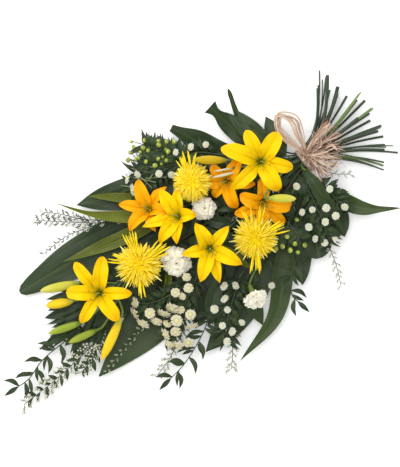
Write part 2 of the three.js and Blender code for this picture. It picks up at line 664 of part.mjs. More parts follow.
/**
 * Florets like thin spindles that stand out of a round core of short ones: level at its rim and upright in
 * its middle. The core is flat where it sits on its stem.
 */
function chrysanthemumHead({ reach, florets }, index) {
  const centre = new THREE.Vector3(0, 0, 0.18 * reach);
  const core = new THREE.IcosahedronGeometry(0.42 * reach, 0).scale(1, 1, 0.85).translate(...centre.toArray());
  const corners = core.getAttribute("position");
  for (let i = 0; i < corners.count; i++) {
    corners.setZ(i, Math.max(corners.getZ(i), 0));
  }
  const pieces = [core];
  for (let i = 0; i < florets; i++) {
    const share = i / florets;
    const azimuth = i * GOLDEN_ANGLE;
    const lift = THREE.MathUtils.degToRad(mix(-4, 84, Math.pow(share, 1.15)));
    const length = reach * mix(1, 0.5, share) * mix(0.84, 1.1, scatter(i + 31 * index));
    const towards = (raise, far) =>
      new THREE.Vector3(
        far * Math.cos(azimuth) * Math.cos(raise),
        far * Math.sin(azimuth) * Math.cos(raise),
        far * Math.sin(raise),
      ).add(centre);
    const points = [towards(lift, 0.06 * reach), towards(lift + 0.15, 0.62 * length), towards(lift, length)];
    const along = points[2].clone().sub(points[0]).normalize();
    const beside = new THREE.Vector3(-Math.sin(azimuth), Math.cos(azimuth), 0);
    const out = along.clone().cross(beside);
    const middle = [0, 1, 2].map((j) =>
      points[1]
        .clone()
        .addScaledVector(beside, 2.3 * Math.cos((2 * Math.PI * j) / 3))
        .addScaledVector(out, 2.3 * Math.sin((2 * Math.PI * j) / 3)),
    );
    pieces.push(skin([[points[0]], middle, [points[2]]]));
  }
  return pieces;
}

/** The section of a carnation's frills: how far out and how high each fold stands, by its reach. */
const FRILLS = [
  [0.16, 0], [0.98, 0.3], [0.5, 0.42], [0.96, 0.56], [0.46, 0.62], [0.8, 0.8], [0.34, 0.78], [0.52, 0.98],
];

/** Pleated petals in rings, one skin from the calyx up: toothed where a fold stands out. */
function carnationHead({ reach }, index) {
  const teeth = 16;
  const rings = FRILLS.map(([out, up], i) =>
    Array.from({ length: teeth }, (_, j) => {
      const angle = (2 * Math.PI * j) / teeth;
      if (i % 2 === 0) {
        return new THREE.Vector3(reach * out * Math.cos(angle), reach * out * Math.sin(angle), reach * up);
      }
      const tooth = (j % 2 ? 0.84 : 1) * mix(0.93, 1.04, scatter(j + 40 * i + index));
      const far = reach * out * tooth;
      const height = reach * (up + 0.07 * Math.cos(1.5 * j + i));
      return new THREE.Vector3(far * Math.cos(angle), far * Math.sin(angle), height);
    }),
  );
  return skin([...rings, [new THREE.Vector3(0, 0, 0.86 * reach)]]);
}

/** A carnation's stem widens into its calyx. */
function carnationStem(points) {
  const radius = STEM_DIAMETER.carnation / 2;
  const [arrival, end] = points.slice(-2);
  const calyx = [arrival, arrival.clone().lerp(end, 0.35), end];
  return stalk(
    [...points.slice(0, -2), ...calyx],
    [...points.slice(0, -2).map(() => radius), radius, 4.6, 5],
    5,
  );
}

function chrysanthemumStem(points) {
  const radius = STEM_DIAMETER.chrysanthemum / 2;
  return stalk(points, points.map((_, i) => radius - (0.8 * i) / points.length), 5);
}

// Sprays.

/** Tapering branches, and the places on them from which twigs may leave. */
function branchesOf(lines, radius) {
  const pieces = [];
  const forks = [];
  for (const line of lines) {
    const points = smoothLine(line).getPoints(line.length + 1);
    pieces.push(stalk(points, points.map((_, i) => mix(radius, 1, i / (points.length - 1))), 4));
    forks.push(...[0, 0.2, 0.4, 0.6, 0.8].map((share) => onPoints(points, share)));
  }
  return { pieces, forks };
}

/** A twig to a head from the nearest fork that it can leave forwards. */
function twigTo(head, forks, radius) {
  const away = ({ foot, along }) => {
    const way = head.clone().sub(foot);
    const forward = way.dot(along) / way.length();
    return way.length() * (forward > 0.35 ? 1 : 3);
  };
  const { foot } = forks.reduce((best, next) => (away(next) < away(best) ? next : best));
  return stalk([foot, head], radius, 3);
}

const DAISY_RAYS = 6;

function daisyHead(reach) {
  const rim = Array.from({ length: 2 * DAISY_RAYS }, (_, j) => {
    const far = reach * (j % 2 ? 0.62 : 1);
    const angle = (Math.PI * j) / DAISY_RAYS;
    return new THREE.Vector3(far * Math.cos(angle), far * Math.sin(angle), 0);
  });
  return skin([rim, [new THREE.Vector3(0, 0, 3.6)]]);
}

function daisySpray(points, { branches, heads }, index) {
  const radius = STEM_DIAMETER.daisy / 2;
  const { pieces, forks } = branchesOf(branches, radius - 0.5);
  pieces.push(stalk(points, radius, 5));
  heads.forEach((place, i) => {
    const head = toVector(place);
    const lean = (seed) => 0.8 * (scatter(i + seed * (index + 1)) - 0.5);
    const facing = new THREE.Vector3(lean(17), lean(23), 1);
    pieces.push(twigTo(head.clone().addScaledVector(facing.normalize(), 0.9), forks, 1.1));
    pieces.push(setOn(daisyHead(mix(9, 11, scatter(i + 5 * index))), head, facing));
  });
  return pieces;
}

function berrySpray(points, { branches, berries, leaves }) {
  const radius = STEM_DIAMETER.berry / 2;
  const { pieces, forks } = branchesOf(branches, radius - 0.4);
  pieces.push(stalk(points, radius, 5));
  berries.forEach((place, i) => {
    const head = toVector(place);
    const berry = new THREE.IcosahedronGeometry(5, 0).scale(1, 1, 1.2);
    pieces.push(twigTo(head, forks, 1));
    pieces.push(setOn(berry, head, new THREE.Vector3(0.4 * (scatter(i) - 0.5), 0.2, 1)));
  });
  pieces.push(...leaves.map(([foot, tip]) => smallLeaf(toVector(foot), toVector(tip), 14)));
  return pieces;
}

/** Pointed leaves in pairs along a twig, which ends in a leaf of its own. */
function ruscusSpray(points, { line, pairs, leaf }) {
  const twig = smoothLine(line).getPoints(line.length + 1);
  const pieces = [stalk([...points, ...twig.slice(1)], STEM_DIAMETER.ruscus / 2, 4)];
  const leafAt = (share, turn, length) => {
    const { foot, along } = onPoints(twig, share);
    const way = along.setZ(0).normalize().applyAxisAngle(UP, turn);
    pieces.push(smallLeaf(foot, foot.clone().addScaledVector(way, length).setZ(foot.z + 2), 10.5));
  };
  for (let i = 0; i < pairs; i++) {
    const length = leaf * (1 - (0.25 * i) / pairs);
    leafAt((i + 0.4) / pairs, 0.7 + 0.3 * scatter(i), length);
    leafAt((i + 0.8) / pairs, -0.7 - 0.3 * scatter(i + 9), length);
  }
  leafAt(0.98, 0, 0.8 * leaf);
  return pieces;
}

/** Fine twigs, with seed cases on thin side stalks to the left and right in turn. */
function grassSpray(points, twigs, index) {
  const pieces = [stalk(points, STEM_DIAMETER.grass / 2, 4)];
  twigs.forEach((line, t) => {
    const curve = smoothLine(line);
    const twig = curve.getPoints(4);
    pieces.push(stalk(twig, [1.2, 1.1, 1.1, 1, 0.9], 3));
    const cases = Math.round(curve.getLength() / 22);
    for (let i = 1; i <= cases; i++) {
      const { foot, along } = onPoints(twig, Math.min(0.98, 0.08 + (0.92 * i) / cases));
      const side = UP.clone().cross(along).multiplyScalar(i % 2 ? 1 : -1);
      const way = side.addScaledVector(along, 0.8).setZ(0.5 * (scatter(i + 3) - 0.4)).normalize();
      const length = mix(12, 20, scatter(i + 13 * t + index));
      const at = (far) => foot.clone().addScaledVector(way, far);
      pieces.push(stalk([foot, at(0.75 * length), at(1.05 * length)], [0.6, 2.2, 0], 3));
    }
  });
  return pieces;
}

// Raffia.

/** A flat strip of raffia through points. */
function strip(line, width, spans) {
  const points = smoothLine(line).getPoints(spans);
  const alongs = directions(points);
  const rings = points.map((point, i) => {
    const beside = UP.clone().cross(alongs[i]).normalize();
    const out = alongs[i].clone().cross(beside);
    return [[1, 1], [-1, 1], [-1, -1], [1, -1]].map(([a, b]) =>
      point
        .clone()
        .addScaledVector(beside, (a * width) / 2)
        .addScaledVector(out, (b * STRAND_THICKNESS) / 2),
    );
  });
  return skin(rings);
}

function raffiaTie() {
  const pieces = [];
  const wrapLength = BINDING_LENGTH / WRAPS;
  for (let i = 0; i < WRAPS; i++) {
    const wall = BINDING_WALL - (i % 2 ? 0 : WRAP_RELIEF);
    const shape = new THREE.Shape(bundleOutline(CLEARANCE + wall));
    shape.holes.push(new THREE.Path(bundleOutline(CLEARANCE)));
    const wrap = new THREE.ExtrudeGeometry(shape, { depth: wrapLength, bevelEnabled: false });
    // The outline's own axes become Y and Z, and its depth runs along X.
    wrap.applyMatrix4(new THREE.Matrix4().makeBasis(
      new THREE.Vector3(0, 1, 0),
      new THREE.Vector3(0, 0, 1),
      new THREE.Vector3(1, 0, 0),
    ));
    wrap.translate(-BINDING_LENGTH / 2 + i * wrapLength, 0, 0);
    pieces.push(wrap);
  }
  const [x, y, z] = KNOT;
  pieces.push(new THREE.IcosahedronGeometry(1, 1).scale(11, 9, 6.5).translate(x, y, z));
  for (let i = 0; i < LOOP_STRANDS; i++) {
    const swing = 3.2 * (i - (LOOP_STRANDS - 1) / 2);
    const drop = 7 * scatter(i + 60);
    const line = [
      [x - 2, y - 2, z],
      [x - 15 + swing, y - 40, z + 7 + i],
      [x - 21 + swing, y - 68 + drop, z + 9 + i],
      [x - 5 + 0.4 * swing, y - 89 + drop, z + 5 + i],
      [x + 10 + 0.6 * swing, y - 70 + drop, z + 0.6 * i],
      [x + 9 + 0.8 * swing, y - 38, z - 1],
      [x + 2, y - 2, z],
    ];
    pieces.push(strip(line, 3.4, 7));
  }
  TAIL_TIPS.forEach(([tipX, tipY, tipZ], i) => {
    const sway = 12 * (scatter(i + 70) - 0.5);
    const middle = [mix(x, tipX, 0.5) + sway, mix(y, tipY, 0.5) - sway, mix(z, tipZ, 0.6) + 3];
    pieces.push(strip([[x, y, z], middle, [tipX, tipY, tipZ]], i === 0 ? 9 : 4.4, 3));
  });
  return pieces;
}

// The sheaf.

const sheaf = new THREE.Group();

/** A mesh of one body, fused from its pieces. */
function addMesh(name, pieces, colour) {
  const [color, roughness] = COLOURS[colour];
  const material = new THREE.MeshStandardMaterial({ color, roughness, metalness: 0, flatShading: true });
  const mesh = new THREE.Mesh(fuse([pieces].flat()), material);
  mesh.name = name;
  sheaf.add(mesh);
  return mesh;
}

/** Stands a mesh on a foot, with its own +Z facing a direction. */
function stand(mesh, foot, facing) {
  mesh.position.copy(foot);
  mesh.quaternion.setFromUnitVectors(UP, facing.clone().normalize());
}

BROAD_LEAVES.forEach((leaf, i) => addMesh(`broad_leaf_${i + 1}`, broadLeaf(leaf, i), "leafDark"));

const HEADS_ON_STEMS = { chrysanthemum: CHRYSANTHEMUM_HEADS, carnation: CARNATION_HEADS };
for (const stem of STEMS) {
  const number = Number(stem.name.at(-1));
  const headOnStem = HEADS_ON_STEMS[stem.kind]?.[number - 1];
  const points = stemPoints(stem, headOnStem?.facing);
  if (stem.kind === "lily") {
    addMesh(stem.name, lilyStem(points, number), "stem");
  } else if (stem.kind === "chrysanthemum") {
    addMesh(stem.name, chrysanthemumStem(points), "stem");
    const florets = chrysanthemumHead(headOnStem, number);
    const head = addMesh(`chrysanthemum_head_${number}`, florets, "chrysanthemum");
    stand(head, toVector(stem.end), toVector(headOnStem.facing));
  } else if (stem.kind === "carnation") {
    addMesh(stem.name, carnationStem(points), "stem");
    const head = addMesh(`carnation_head_${number}`, carnationHead(headOnStem, number), "white");
    stand(head, toVector(stem.end), toVector(headOnStem.facing));
  } else if (stem.kind === "daisy") {
    addMesh(stem.name, daisySpray(points, DAISY_SPRAYS[number - 1], number), "daisy");
  } else if (stem.kind === "berry") {
    addMesh(stem.name, berrySpray(points, BERRY_SPRAYS[number - 1]), "berry");
  } else if (stem.kind === "ruscus") {
    addMesh(stem.name, ruscusSpray(points, RUSCUS_TWIGS[number - 1]), "leafDark");
  } else if (stem.kind === "grass") {
    addMesh(stem.name, grassSpray(points, GRASS_TWIGS[number - 1], number), "grass");
  } else {
    const line = [points.at(-2).toArray(), ...FOLDED_LEAF.line];
    const leaf = longLeaf({ line, width: FOLDED_LEAF.width });
    addMesh(stem.name, [stalk(points, STEM_DIAMETER.leaf / 2, 4), leaf], "leafDark");
  }
}

LILY_BLOOMS.forEach((bloom, i) => {
  const mesh = addMesh(`lily_bloom_${i + 1}`, lilyBloom(bloom), bloom.colour);
  stand(mesh, toVector(bloom.foot), toVector(bloom.facing));
});
LILY_BUDS.forEach((bud, i) => {
  const mesh = addMesh(`lily_bud_${i + 1}`, lilyBud(bud), bud.colour);
  const foot = toVector(bud.foot);
  stand(mesh, foot, toVector(bud.tip).sub(foot));
});
addMesh("raffia_tie", raffiaTie(), "raffia");

export default sheaf;
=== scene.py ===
"""A hand-tied flower sheaf: fresh petals, leaves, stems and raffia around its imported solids.

Sizes in the tables are millimetres, in the frame of the solids: +X runs from the binding to the flower tips,
+Z is up. Stems, blades and heads follow the lines of the solids that they stand for. Small leaves, twigs,
florets and seeds are added along them.
"""
import math

import bpy
import numpy as np
from bpy.props import FloatProperty, FloatVectorProperty, IntProperty, PointerProperty
from mathutils import Matrix, Vector


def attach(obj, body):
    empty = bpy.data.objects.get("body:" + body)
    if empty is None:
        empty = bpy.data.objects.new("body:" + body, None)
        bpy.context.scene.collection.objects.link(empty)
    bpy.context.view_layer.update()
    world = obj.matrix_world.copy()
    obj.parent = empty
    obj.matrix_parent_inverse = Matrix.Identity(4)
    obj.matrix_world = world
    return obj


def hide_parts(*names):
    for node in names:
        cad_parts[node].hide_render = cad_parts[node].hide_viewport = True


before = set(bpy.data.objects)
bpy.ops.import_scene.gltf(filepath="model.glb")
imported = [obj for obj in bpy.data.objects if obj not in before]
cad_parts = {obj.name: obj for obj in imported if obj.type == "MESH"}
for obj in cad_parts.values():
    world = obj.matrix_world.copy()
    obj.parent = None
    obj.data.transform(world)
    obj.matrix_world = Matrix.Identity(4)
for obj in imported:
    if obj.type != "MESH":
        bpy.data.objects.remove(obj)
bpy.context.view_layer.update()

bl_info = {
    "name": "Flower sheaf",
    "version": (1, 0, 0),
    "blender": (4, 5, 0),
    "location": "View3D > Sidebar > Sheaf",
    "description": "Grows the petals, leaves, stems and raffia of a hand-tied flower sheaf",
    "category": "Add Mesh",
}

MM = 0.001
UP = np.array([0.0, 0.0, 1.0])
GOLDEN_ANGLE = math.pi * (3 - math.sqrt(5))

# The binding, and the stems' places in it.
CLEARANCE = 0.4
SEAT = math.cos(math.pi / 5)
BINDING_LENGTH = 18
BINDING_WALL = 2.1
CUT_REACH = (104, 150)
CUT_FAN = (-38, 44)
CUT_RISE = 1.45
LEAF_STALK = 2.6
STEM_TAPER = 0.8
LAYER_LIFT = 9
LIFT_REACH = 64
STEM_DIAMETER = {
    "lily": 7, "chrysanthemum": 6, "carnation": 4.5, "daisy": 4.5, "berry": 4, "folded": 3, "ruscus": 3,
    "grass": 2.4,
}
STALK_ROW = BINDING_WALL + CLEARANCE + LEAF_STALK / 2

# Broad leaves: width, how blunt the tip is, and the line along the middle of the blade.
BROAD_LEAVES = [
    (30, 0, [(26, -44, 6), (42, -88, 8), (48, -128, 12), (28, -188, 22)]),
    (36, 0.8, [(44, -48, 10), (61, -98, 12), (69, -146, 15), (74, -184, 24)]),
    (44, 0.3, [(66, -56, 5), (113, -108, 6), (131, -152, 9), (152, -200, 16)]),
    (60, 0, [(90, -58, 10), (150, -106, 11), (205, -150, 11), (262, -178, 14)]),
    (64, 0, [(120, -62, 6), (210, -112, 6), (290, -160, 7), (372, -203, 10)]),
    (80, 0, [(140, -46, 0.7), (300, -92, 0.7), (430, -128, 0.7), (552, -148, 12)]),
    (70, 0, [(80, -14, 10.5), (220, -34, 11), (330, -36, 11), (450, -22, 11)]),
    (94, 0, [(160, 6, 0.7), (320, 26, 0.7), (430, 46, 0.7), (540, 60, 14)]),
    (68, 0, [(80, 12, 10.5), (180, 46, 11), (270, 76, 11), (352, 100, 11)]),
    (62, 0, [(110, 44, 6), (210, 108, 6), (290, 138, 7), (364, 150, 14)]),
    (38, 0, [(92, 56, 10.5), (165, 130, 11), (227, 181, 13), (326, 202, 20)]),
    (50, 0, [(62, 54, 6), (96, 92, 6), (126, 128, 8), (152, 170, 14)]),
    (62, 0, [(40, 46, 11), (62, 84, 12), (80, 116, 13), (98, 152, 18)]),
    (48, 0, [(28, 44, 5.5), (26, 78, 6), (26, 112, 8), (38, 152, 14)]),
    (30, 0, [(18, 46, 10), (4, 86, 14), (-20, 134, 20), (-72, 177, 34)]),
]
LEAF_OUTLINE = [(0, 0.07), (0.12, 0.4), (0.32, 0.86), (0.52, 1), (0.74, 0.84), (0.9, 0.46), (1, 0)]
LEAF_CHANNEL = 2.4
# How fresh each leaf's green is, from nought to one, and the outlines of the leaves that have their own.
LEAF_FRESHNESS = (0.2, 0.1, 0.0, 0.3, 0.1, 0.15, 0.3, 0.55, 0.1, 0.3, 0.75, 0.2, 0.05, 0.3, 0.9)
OWN_OUTLINES = {
    0: [(0, 0.3), (0.2, 1), (0.42, 0.9), (0.62, 0.42), (0.85, 0.26), (0.97, 0.18), (1, 0.05)],
    5: [(0, 0.07), (0.12, 0.4), (0.32, 0.86), (0.52, 1), (0.74, 0.85), (0.88, 0.56), (0.96, 0.34),
        (0.99, 0.2), (1, 0.08)],
    7: [(0, 0.07), (0.12, 0.4), (0.32, 0.86), (0.52, 1), (0.7, 0.84), (0.84, 0.52), (0.93, 0.26), (1, 0.02)],
    10: [(0, 0.1), (0.2, 0.7), (0.4, 1), (0.55, 0.9), (0.7, 0.66), (0.85, 0.36), (1, 0.01)],
    12: [(0, 0.07), (0.15, 0.5), (0.4, 0.9), (0.6, 1), (0.8, 0.96), (0.91, 0.74), (0.97, 0.46), (1, 0.2)],
    14: [(0, 0.12), (0.2, 0.7), (0.4, 1), (0.6, 0.8), (0.75, 0.42), (0.9, 0.2), (1, 0.02)],
}

# Stems in the order of the solids: kind, number, layer in the binding and where each ends.
STEMS = [
    ("lily", 1, 0, (424, -50, 30)), ("lily", 2, 1, (234, -78, 32)),
    ("lily", 3, 2, (230, 6, 46)), ("lily", 4, 3, (44, -22, 44)),
    ("chrysanthemum", 1, 1, (355, -46, 62)), ("chrysanthemum", 2, 2, (186, -98, 60)),
    ("chrysanthemum", 3, 2, (163, 48, 62)), ("carnation", 1, 1, (300, -6, 42)),
    ("carnation", 2, 2, (199, -52, 42)), ("carnation", 3, 1, (228, 114, 46)),
    ("daisy", 1, 0, (290, 36, 38)), ("daisy", 2, 1, (232, 86, 34)),
    ("daisy", 3, 3, (34, 42, 42)), ("daisy", 4, 2, (118, -108, 32)),
    ("berry", 1, 1, (160, -126, 26)), ("berry", 2, 2, (100, 66, 50)),
    ("ruscus", 1, 0, (450, -20, 22)), ("ruscus", 2, 0, (290, 88, 24)),
    ("ruscus", 3, 2, (128, 124, 32)), ("grass", 1, 0, (300, -128, 18)),
    ("grass", 2, 0, (480, 6, 22)), ("grass", 3, 1, (286, 124, 28)),
    ("grass", 4, 0, (350, 80, 18)), ("grass", 5, 3, (54, 108, 36)),
    ("folded", 1, 3, (16, 14, 44)),
]

# Lily blooms: stem, foot, facing, whether deep in colour, and each tepal's direction and reach.
LILY_BLOOMS = [
    (4, (70, -50, 69), (-0.06, 0.06, 1), 0, [(3, 72), (79, 60), (128, 58), (200, 60), (257, 62), (301, 76)]),
    (1, (440, -54, 46), (0.1, -0.06, 1), 0, [(20, 62), (88, 60), (140, 60), (222, 66), (268, 70),
                                             (318, 58)]),
    (3, (238, 10, 64), (0, 0.06, 1), 0, [(-28, 52), (34, 62), (66, 64), (114, 64), (190, 52), (260, 52)]),
    (2, (243, -66, 58), (0.1, -0.2, 1), 0, [(-24, 68), (16, 58), (48, 50), (142, 34), (232, 50), (264, 58)]),
    (2, (275, -108, 33), (0.15, -0.35, 1), 1,
     [(-50, 58), (10, 52), (70, 44), (130, 44), (190, 52), (250, 58)]),
    (4, (110, 4, 50), (0.1, 0.42, 1), 1, [(-20, 56), (36, 54), (92, 58), (138, 50), (240, 46), (298, 48)]),
    (4, (134, -62, 44), (0.3, -0.05, 1), 1, [(10, 37), (72, 52), (135, 54), (195, 48), (272, 38),
                                             (322, 44)]),
]
# How wide each bloom's tepals are as a share of its size, a tepal's line from the bloom's foot as shares of
# its reach and of the bloom's height, and the outlines of its tepals.
TEPAL_GIRTH = (0.86, 0.76, 0.86, 0.88, 0.9, 0.92, 0.92)
TEPAL_LINE = [(0.05, 0.06), (0.1, 0.2), (0.28, 0.42), (0.55, 0.56), (0.82, 0.53), (1, 0.38)]
FULL_TEPAL = [(0, 0.14), (0.25, 0.42), (0.46, 0.55), (0.64, 0.55), (0.82, 0.44), (0.93, 0.27), (0.98, 0.13),
              (1, 0.02)]
POINTED_TEPAL = [(0, 0.16), (0.2, 0.38), (0.38, 0.53), (0.54, 0.54), (0.72, 0.41), (0.88, 0.2), (0.96, 0.08),
                 (1, 0.01)]
TEPAL_OUTLINES = (
    FULL_TEPAL, FULL_TEPAL, POINTED_TEPAL, POINTED_TEPAL, POINTED_TEPAL, FULL_TEPAL, FULL_TEPAL,
)
ANTHER_PROFILE = [(0, 0.3), (0.2, 0.9), (0.5, 1), (0.8, 0.9), (1, 0.3)]
STIGMA_PROFILE = [(0, 0.4), (0.6, 1), (1, 0.7)]
FILAMENT = ((0.03, 0.1), (0.19, 0.6), (0.23, 0.68))

# Buds: stem, foot, tip, girth and how green they are, from nought for yellow to one.
LILY_BUDS = [
    (1, (440, 4, 52), (515, 40, 48), 19, 0.25), (1, (458, -92, 40), (521, -126, 38), 18, 0.4),
    (1, (488, -74, 28), (531, -99, 26), 19, 0.05), (4, (114, -90, 70), (158, -128, 92), 17, 0.7),
    (4, (100, 10, 106), (64, 42, 108), 16, 0.95),
]
GREEN_BUDS = [(1, (498, -34, 36), (560, -58, 30), 14), (1, (486, -6, 34), (542, -22, 30), 14)]
SLIM_BUDS = [(4, (112, -62, 72), (154, -83, 80), 5.5), (4, (114, -72, 76), (145, -90, 84), 3.6)]
BUD_FINISHES = ("bud", "pale bud", "bud", "ripe bud", "pale bud")
BUD_PROFILE = [(0, 0.3), (0.06, 0.48), (0.24, 0.82), (0.52, 1), (0.8, 0.76), (0.94, 0.4), (1, 0.06)]
# Long leaves on the lily stems: stem, width and line. The first has a long tip.
LILY_LEAVES = [
    (2, 24, [(236, -80, 30), (318, -130, 25), (362, -172, 25), (398, -228, 26)]),
    (2, 20, [(236, -80, 30), (296, -154, 22), (346, -202, 22)]),
    (2, 26, [(238, -78, 31), (350, -104, 32), (456, -140, 26)]),
    (3, 17, [(228, 8, 44), (213, 50, 52), (204, 90, 50)]),
    (1, 12, [(314, -16, 26), (334, 8, 42), (358, 22, 44)]),
]
LILY_LEAF_OUTLINE = [(0, 0.25), (0.3, 0.92), (0.55, 1), (0.8, 0.6), (1, 0.01)]
LONG_TIP = [(0, 0.25), (0.25, 0.95), (0.42, 1), (0.58, 0.72), (0.74, 0.36), (0.88, 0.18), (1, 0.02)]
PEDICEL_RADIUS = 1.9
# Dark leaves low on the lily stems: stem, width, foot and tip.
LOW_LEAVES = [
    (1, 22, (404, -50, 22), (488, -104, 15)), (1, 20, (412, -50, 22), (508, -76, 16)),
    (1, 18, (418, -48, 23), (526, -44, 17)), (1, 20, (408, -44, 22), (506, -4, 17)),
    (1, 20, (400, -44, 21), (474, 22, 18)), (1, 24, (374, -44, 20), (436, -92, 14)),
    (1, 26, (362, -40, 19), (438, 8, 17)), (1, 26, (332, -34, 19), (402, 20, 16)),
    (1, 22, (300, -28, 18), (362, 24, 17)), (2, 24, (208, -72, 24), (262, -126, 22)),
    (2, 22, (196, -66, 24), (240, -36, 24)), (3, 22, (180, 4, 34), (214, -34, 32)),
    (3, 22, (190, 6, 34), (250, 44, 30)), (3, 20, (210, 6, 36), (282, 22, 32)),
    (1, 12, (470, -34, 22), (548, -4, 15)), (1, 12, (474, -44, 22), (552, -72, 15)),
    (1, 11, (466, -26, 22), (520, 22, 15)), (1, 12, (478, -38, 22), (572, -34, 15)),
    (1, 14, (452, -70, 26), (524, -108, 20)), (1, 12, (446, -62, 24), (508, -122, 20)),
    (1, 13, (440, -34, 22), (498, 14, 16)), (1, 12, (500, -44, 20), (548, -62, 14)),
    (1, 26, (444, -62, 20), (534, -90, 13)), (1, 24, (452, -46, 19), (540, -58, 13)),
    (1, 24, (450, -28, 18), (518, -4, 13)), (1, 20, (440, -16, 18), (494, 32, 14)),
    (1, 24, (374, -56, 14), (432, -92, 10)), (1, 18, (490, -58, 18), (548, -84, 14)),
    (1, 22, (500, -14, 19), (556, 6, 17)), (1, 16, (506, -26, 19), (552, -22, 17)),
    (4, 34, (28, -30, 22), (8, -106, 16)), (4, 28, (38, -42, 22), (42, -150, 18)),
    (3, 24, (212, 12, 34), (286, 76, 30)), (3, 24, (190, 14, 34), (250, 82, 30)),
    (4, 30, (32, 4, 22), (96, 42, 14)), (4, 30, (28, -8, 22), (84, 8, 14)),
    (4, 26, (30, 10, 22), (76, 64, 14)),
    (4, 26, (42, -56, 20), (58, -158, 16)), (1, 22, (470, -62, 20), (530, -80, 13)),
    (4, 18, (26, 18, 24), (58, 66, 15)), (1, 14, (520, -40, 17), (592, -46, 13)),
    (1, 18, (506, -36, 19), (566, -50, 14)), (3, 30, (262, 62, 26), (330, 118, 19)),
    (3, 32, (230, 90, 22), (254, 180, 14)), (3, 20, (290, 84, 24), (322, 142, 17)),
]

# Heads on stems: facing and reach, and for the chrysanthemums how many long florets they have and the reach
# of the short ones.
CHRYSANTHEMUM_HEADS = [
    ((-0.05, -0.08, 1), 57, 50, 40), ((0.05, -0.15, 1), 46, 44, 35), ((0.08, 0.12, 1), 54, 50, 39),
]
# Tufts of longer florets on each chrysanthemum: their direction in degrees and their reach.
CHRYSANTHEMUM_TUFTS = [
    [(-109, 62), (-121, 61), (178, 72), (170, 64), (-173, 68), (-55, 60), (55, 65)],
    [(-121, 58), (-137, 55), (-105, 52)],
    [(49, 67), (61, 66), (-111, 60), (-142, 60), (164, 62), (172, 60)],
]
CARNATION_HEADS = [((0.05, 0, 1), 28), ((0, 0.1, 1), 26), ((0.25, 0.8, 0.55), 26)]
# How far the petals stand out along each carnation's axis, and on the first one the direction of a lobe and
# how much longer its petals are.
CARNATION_RISE = (0, 0, 13)
LOBE_TURN = math.radians(-120)
LOBE_REACH = 1.38

# Daisy sprays: the lines of their branches and the places of their heads. Some heads have their own
# turn in degrees, lean in radians and reach.
DAISY_SPRAYS = [
    ([[(290, 36, 38), (330, 32, 46), (374, 22, 46), (406, 2, 46)],
      [(290, 36, 38), (326, 54, 44), (362, 72, 42), (404, 86, 42)]],
     [(313, 41, 66, 50, 0.2, 9.5), (336, 32, 68, 50, 0.2, 9.2), (331, 45, 63, 10, 0.6, 8),
      (403, 0, 48, -30, 0.95, 11),
      (416, 14, 44, -10, 1.2, 13), (416, 37, 48, 22, 1.1, 13.5), (395, 50, 52, 34, 0.9, 11),
      (375, 47, 56, 26, 1.1, 13.5),
      (358, 50, 60, 21, 0.9, 13.5), (397, 78, 48, -5, 1.1, 13), (395, 106, 40, 33, 1.0, 12.5),
      (376, 116, 40, 40, 0.6, 11), (352, 96, 54, 64, 1.25, 13), (395, 31, 60, 50, 0.1, 10.4),
      (367, 72, 62, 50, 0.2, 11.6), (341, 80, 58, 50, 0.1, 10.4), (381, 86, 54, 50, 0.5, 10.5),
      (384, 66, 50, 200, 0.8, 9), (350, 62, 54, 240, 0.7, 9.5), (404, 96, 42, 10, 0.9, 10),
      (303, 24, 64, 50, 0.3, 8.5)]),
    ([[(232, 86, 34), (262, 106, 38), (296, 130, 38), (322, 160, 34)]],
     [(196, 134, 30), (280, 150, 42), (303, 152, 44), (285, 116, 50), (310, 132, 48), (246, 92, 54),
      (262, 80, 58), (276, 98, 54), (302, 100, 48), (322, 160, 38)]),
    ([[(34, 42, 42), (42, 70, 47), (52, 104, 46), (64, 136, 44)],
      [(34, 42, 42), (10, 66, 40), (8, 106, 38)]],
     [(5, 110, 46), (28, 112, 52), (32, 90, 58), (49, 108, 56), (78, 96, 56), (53, 76, 64), (70, 68, 66),
      (5, 68, 54), (48, 26, 68), (55, 143, 46), (74, 136, 46), (82, 120, 46)]),
    ([[(118, -108, 32), (146, -136, 36), (196, -146, 40)]],
     [(124, -136, 42), (174, -160, 44), (147, -150, 42), (206, -134, 50), (166, -120, 48), (222, -150, 44),
      (270, -180, 30, -50, 1.2, 11), (276, -158, 30, -30, 1.2, 12), (252, -174, 34, -10, 0.8, 8)]),
]

# Outlines of daisy rays, and of small leaves, pointed and lobed.
RAY_OUTLINE = [(0, 0.55), (0.5, 0.95), (0.8, 1), (0.95, 0.7), (1, 0.3)]
POINTED = [(0, 0.16), (0.2, 0.7), (0.42, 1), (0.72, 0.66), (1, 0.02)]
LOBED = [
    (0, 0.12), (0.14, 0.14), (0.26, 0.62), (0.34, 0.4), (0.5, 1), (0.6, 0.56), (0.74, 0.82), (0.83, 0.48),
    (0.92, 0.34),
    (1, 0.03),
]

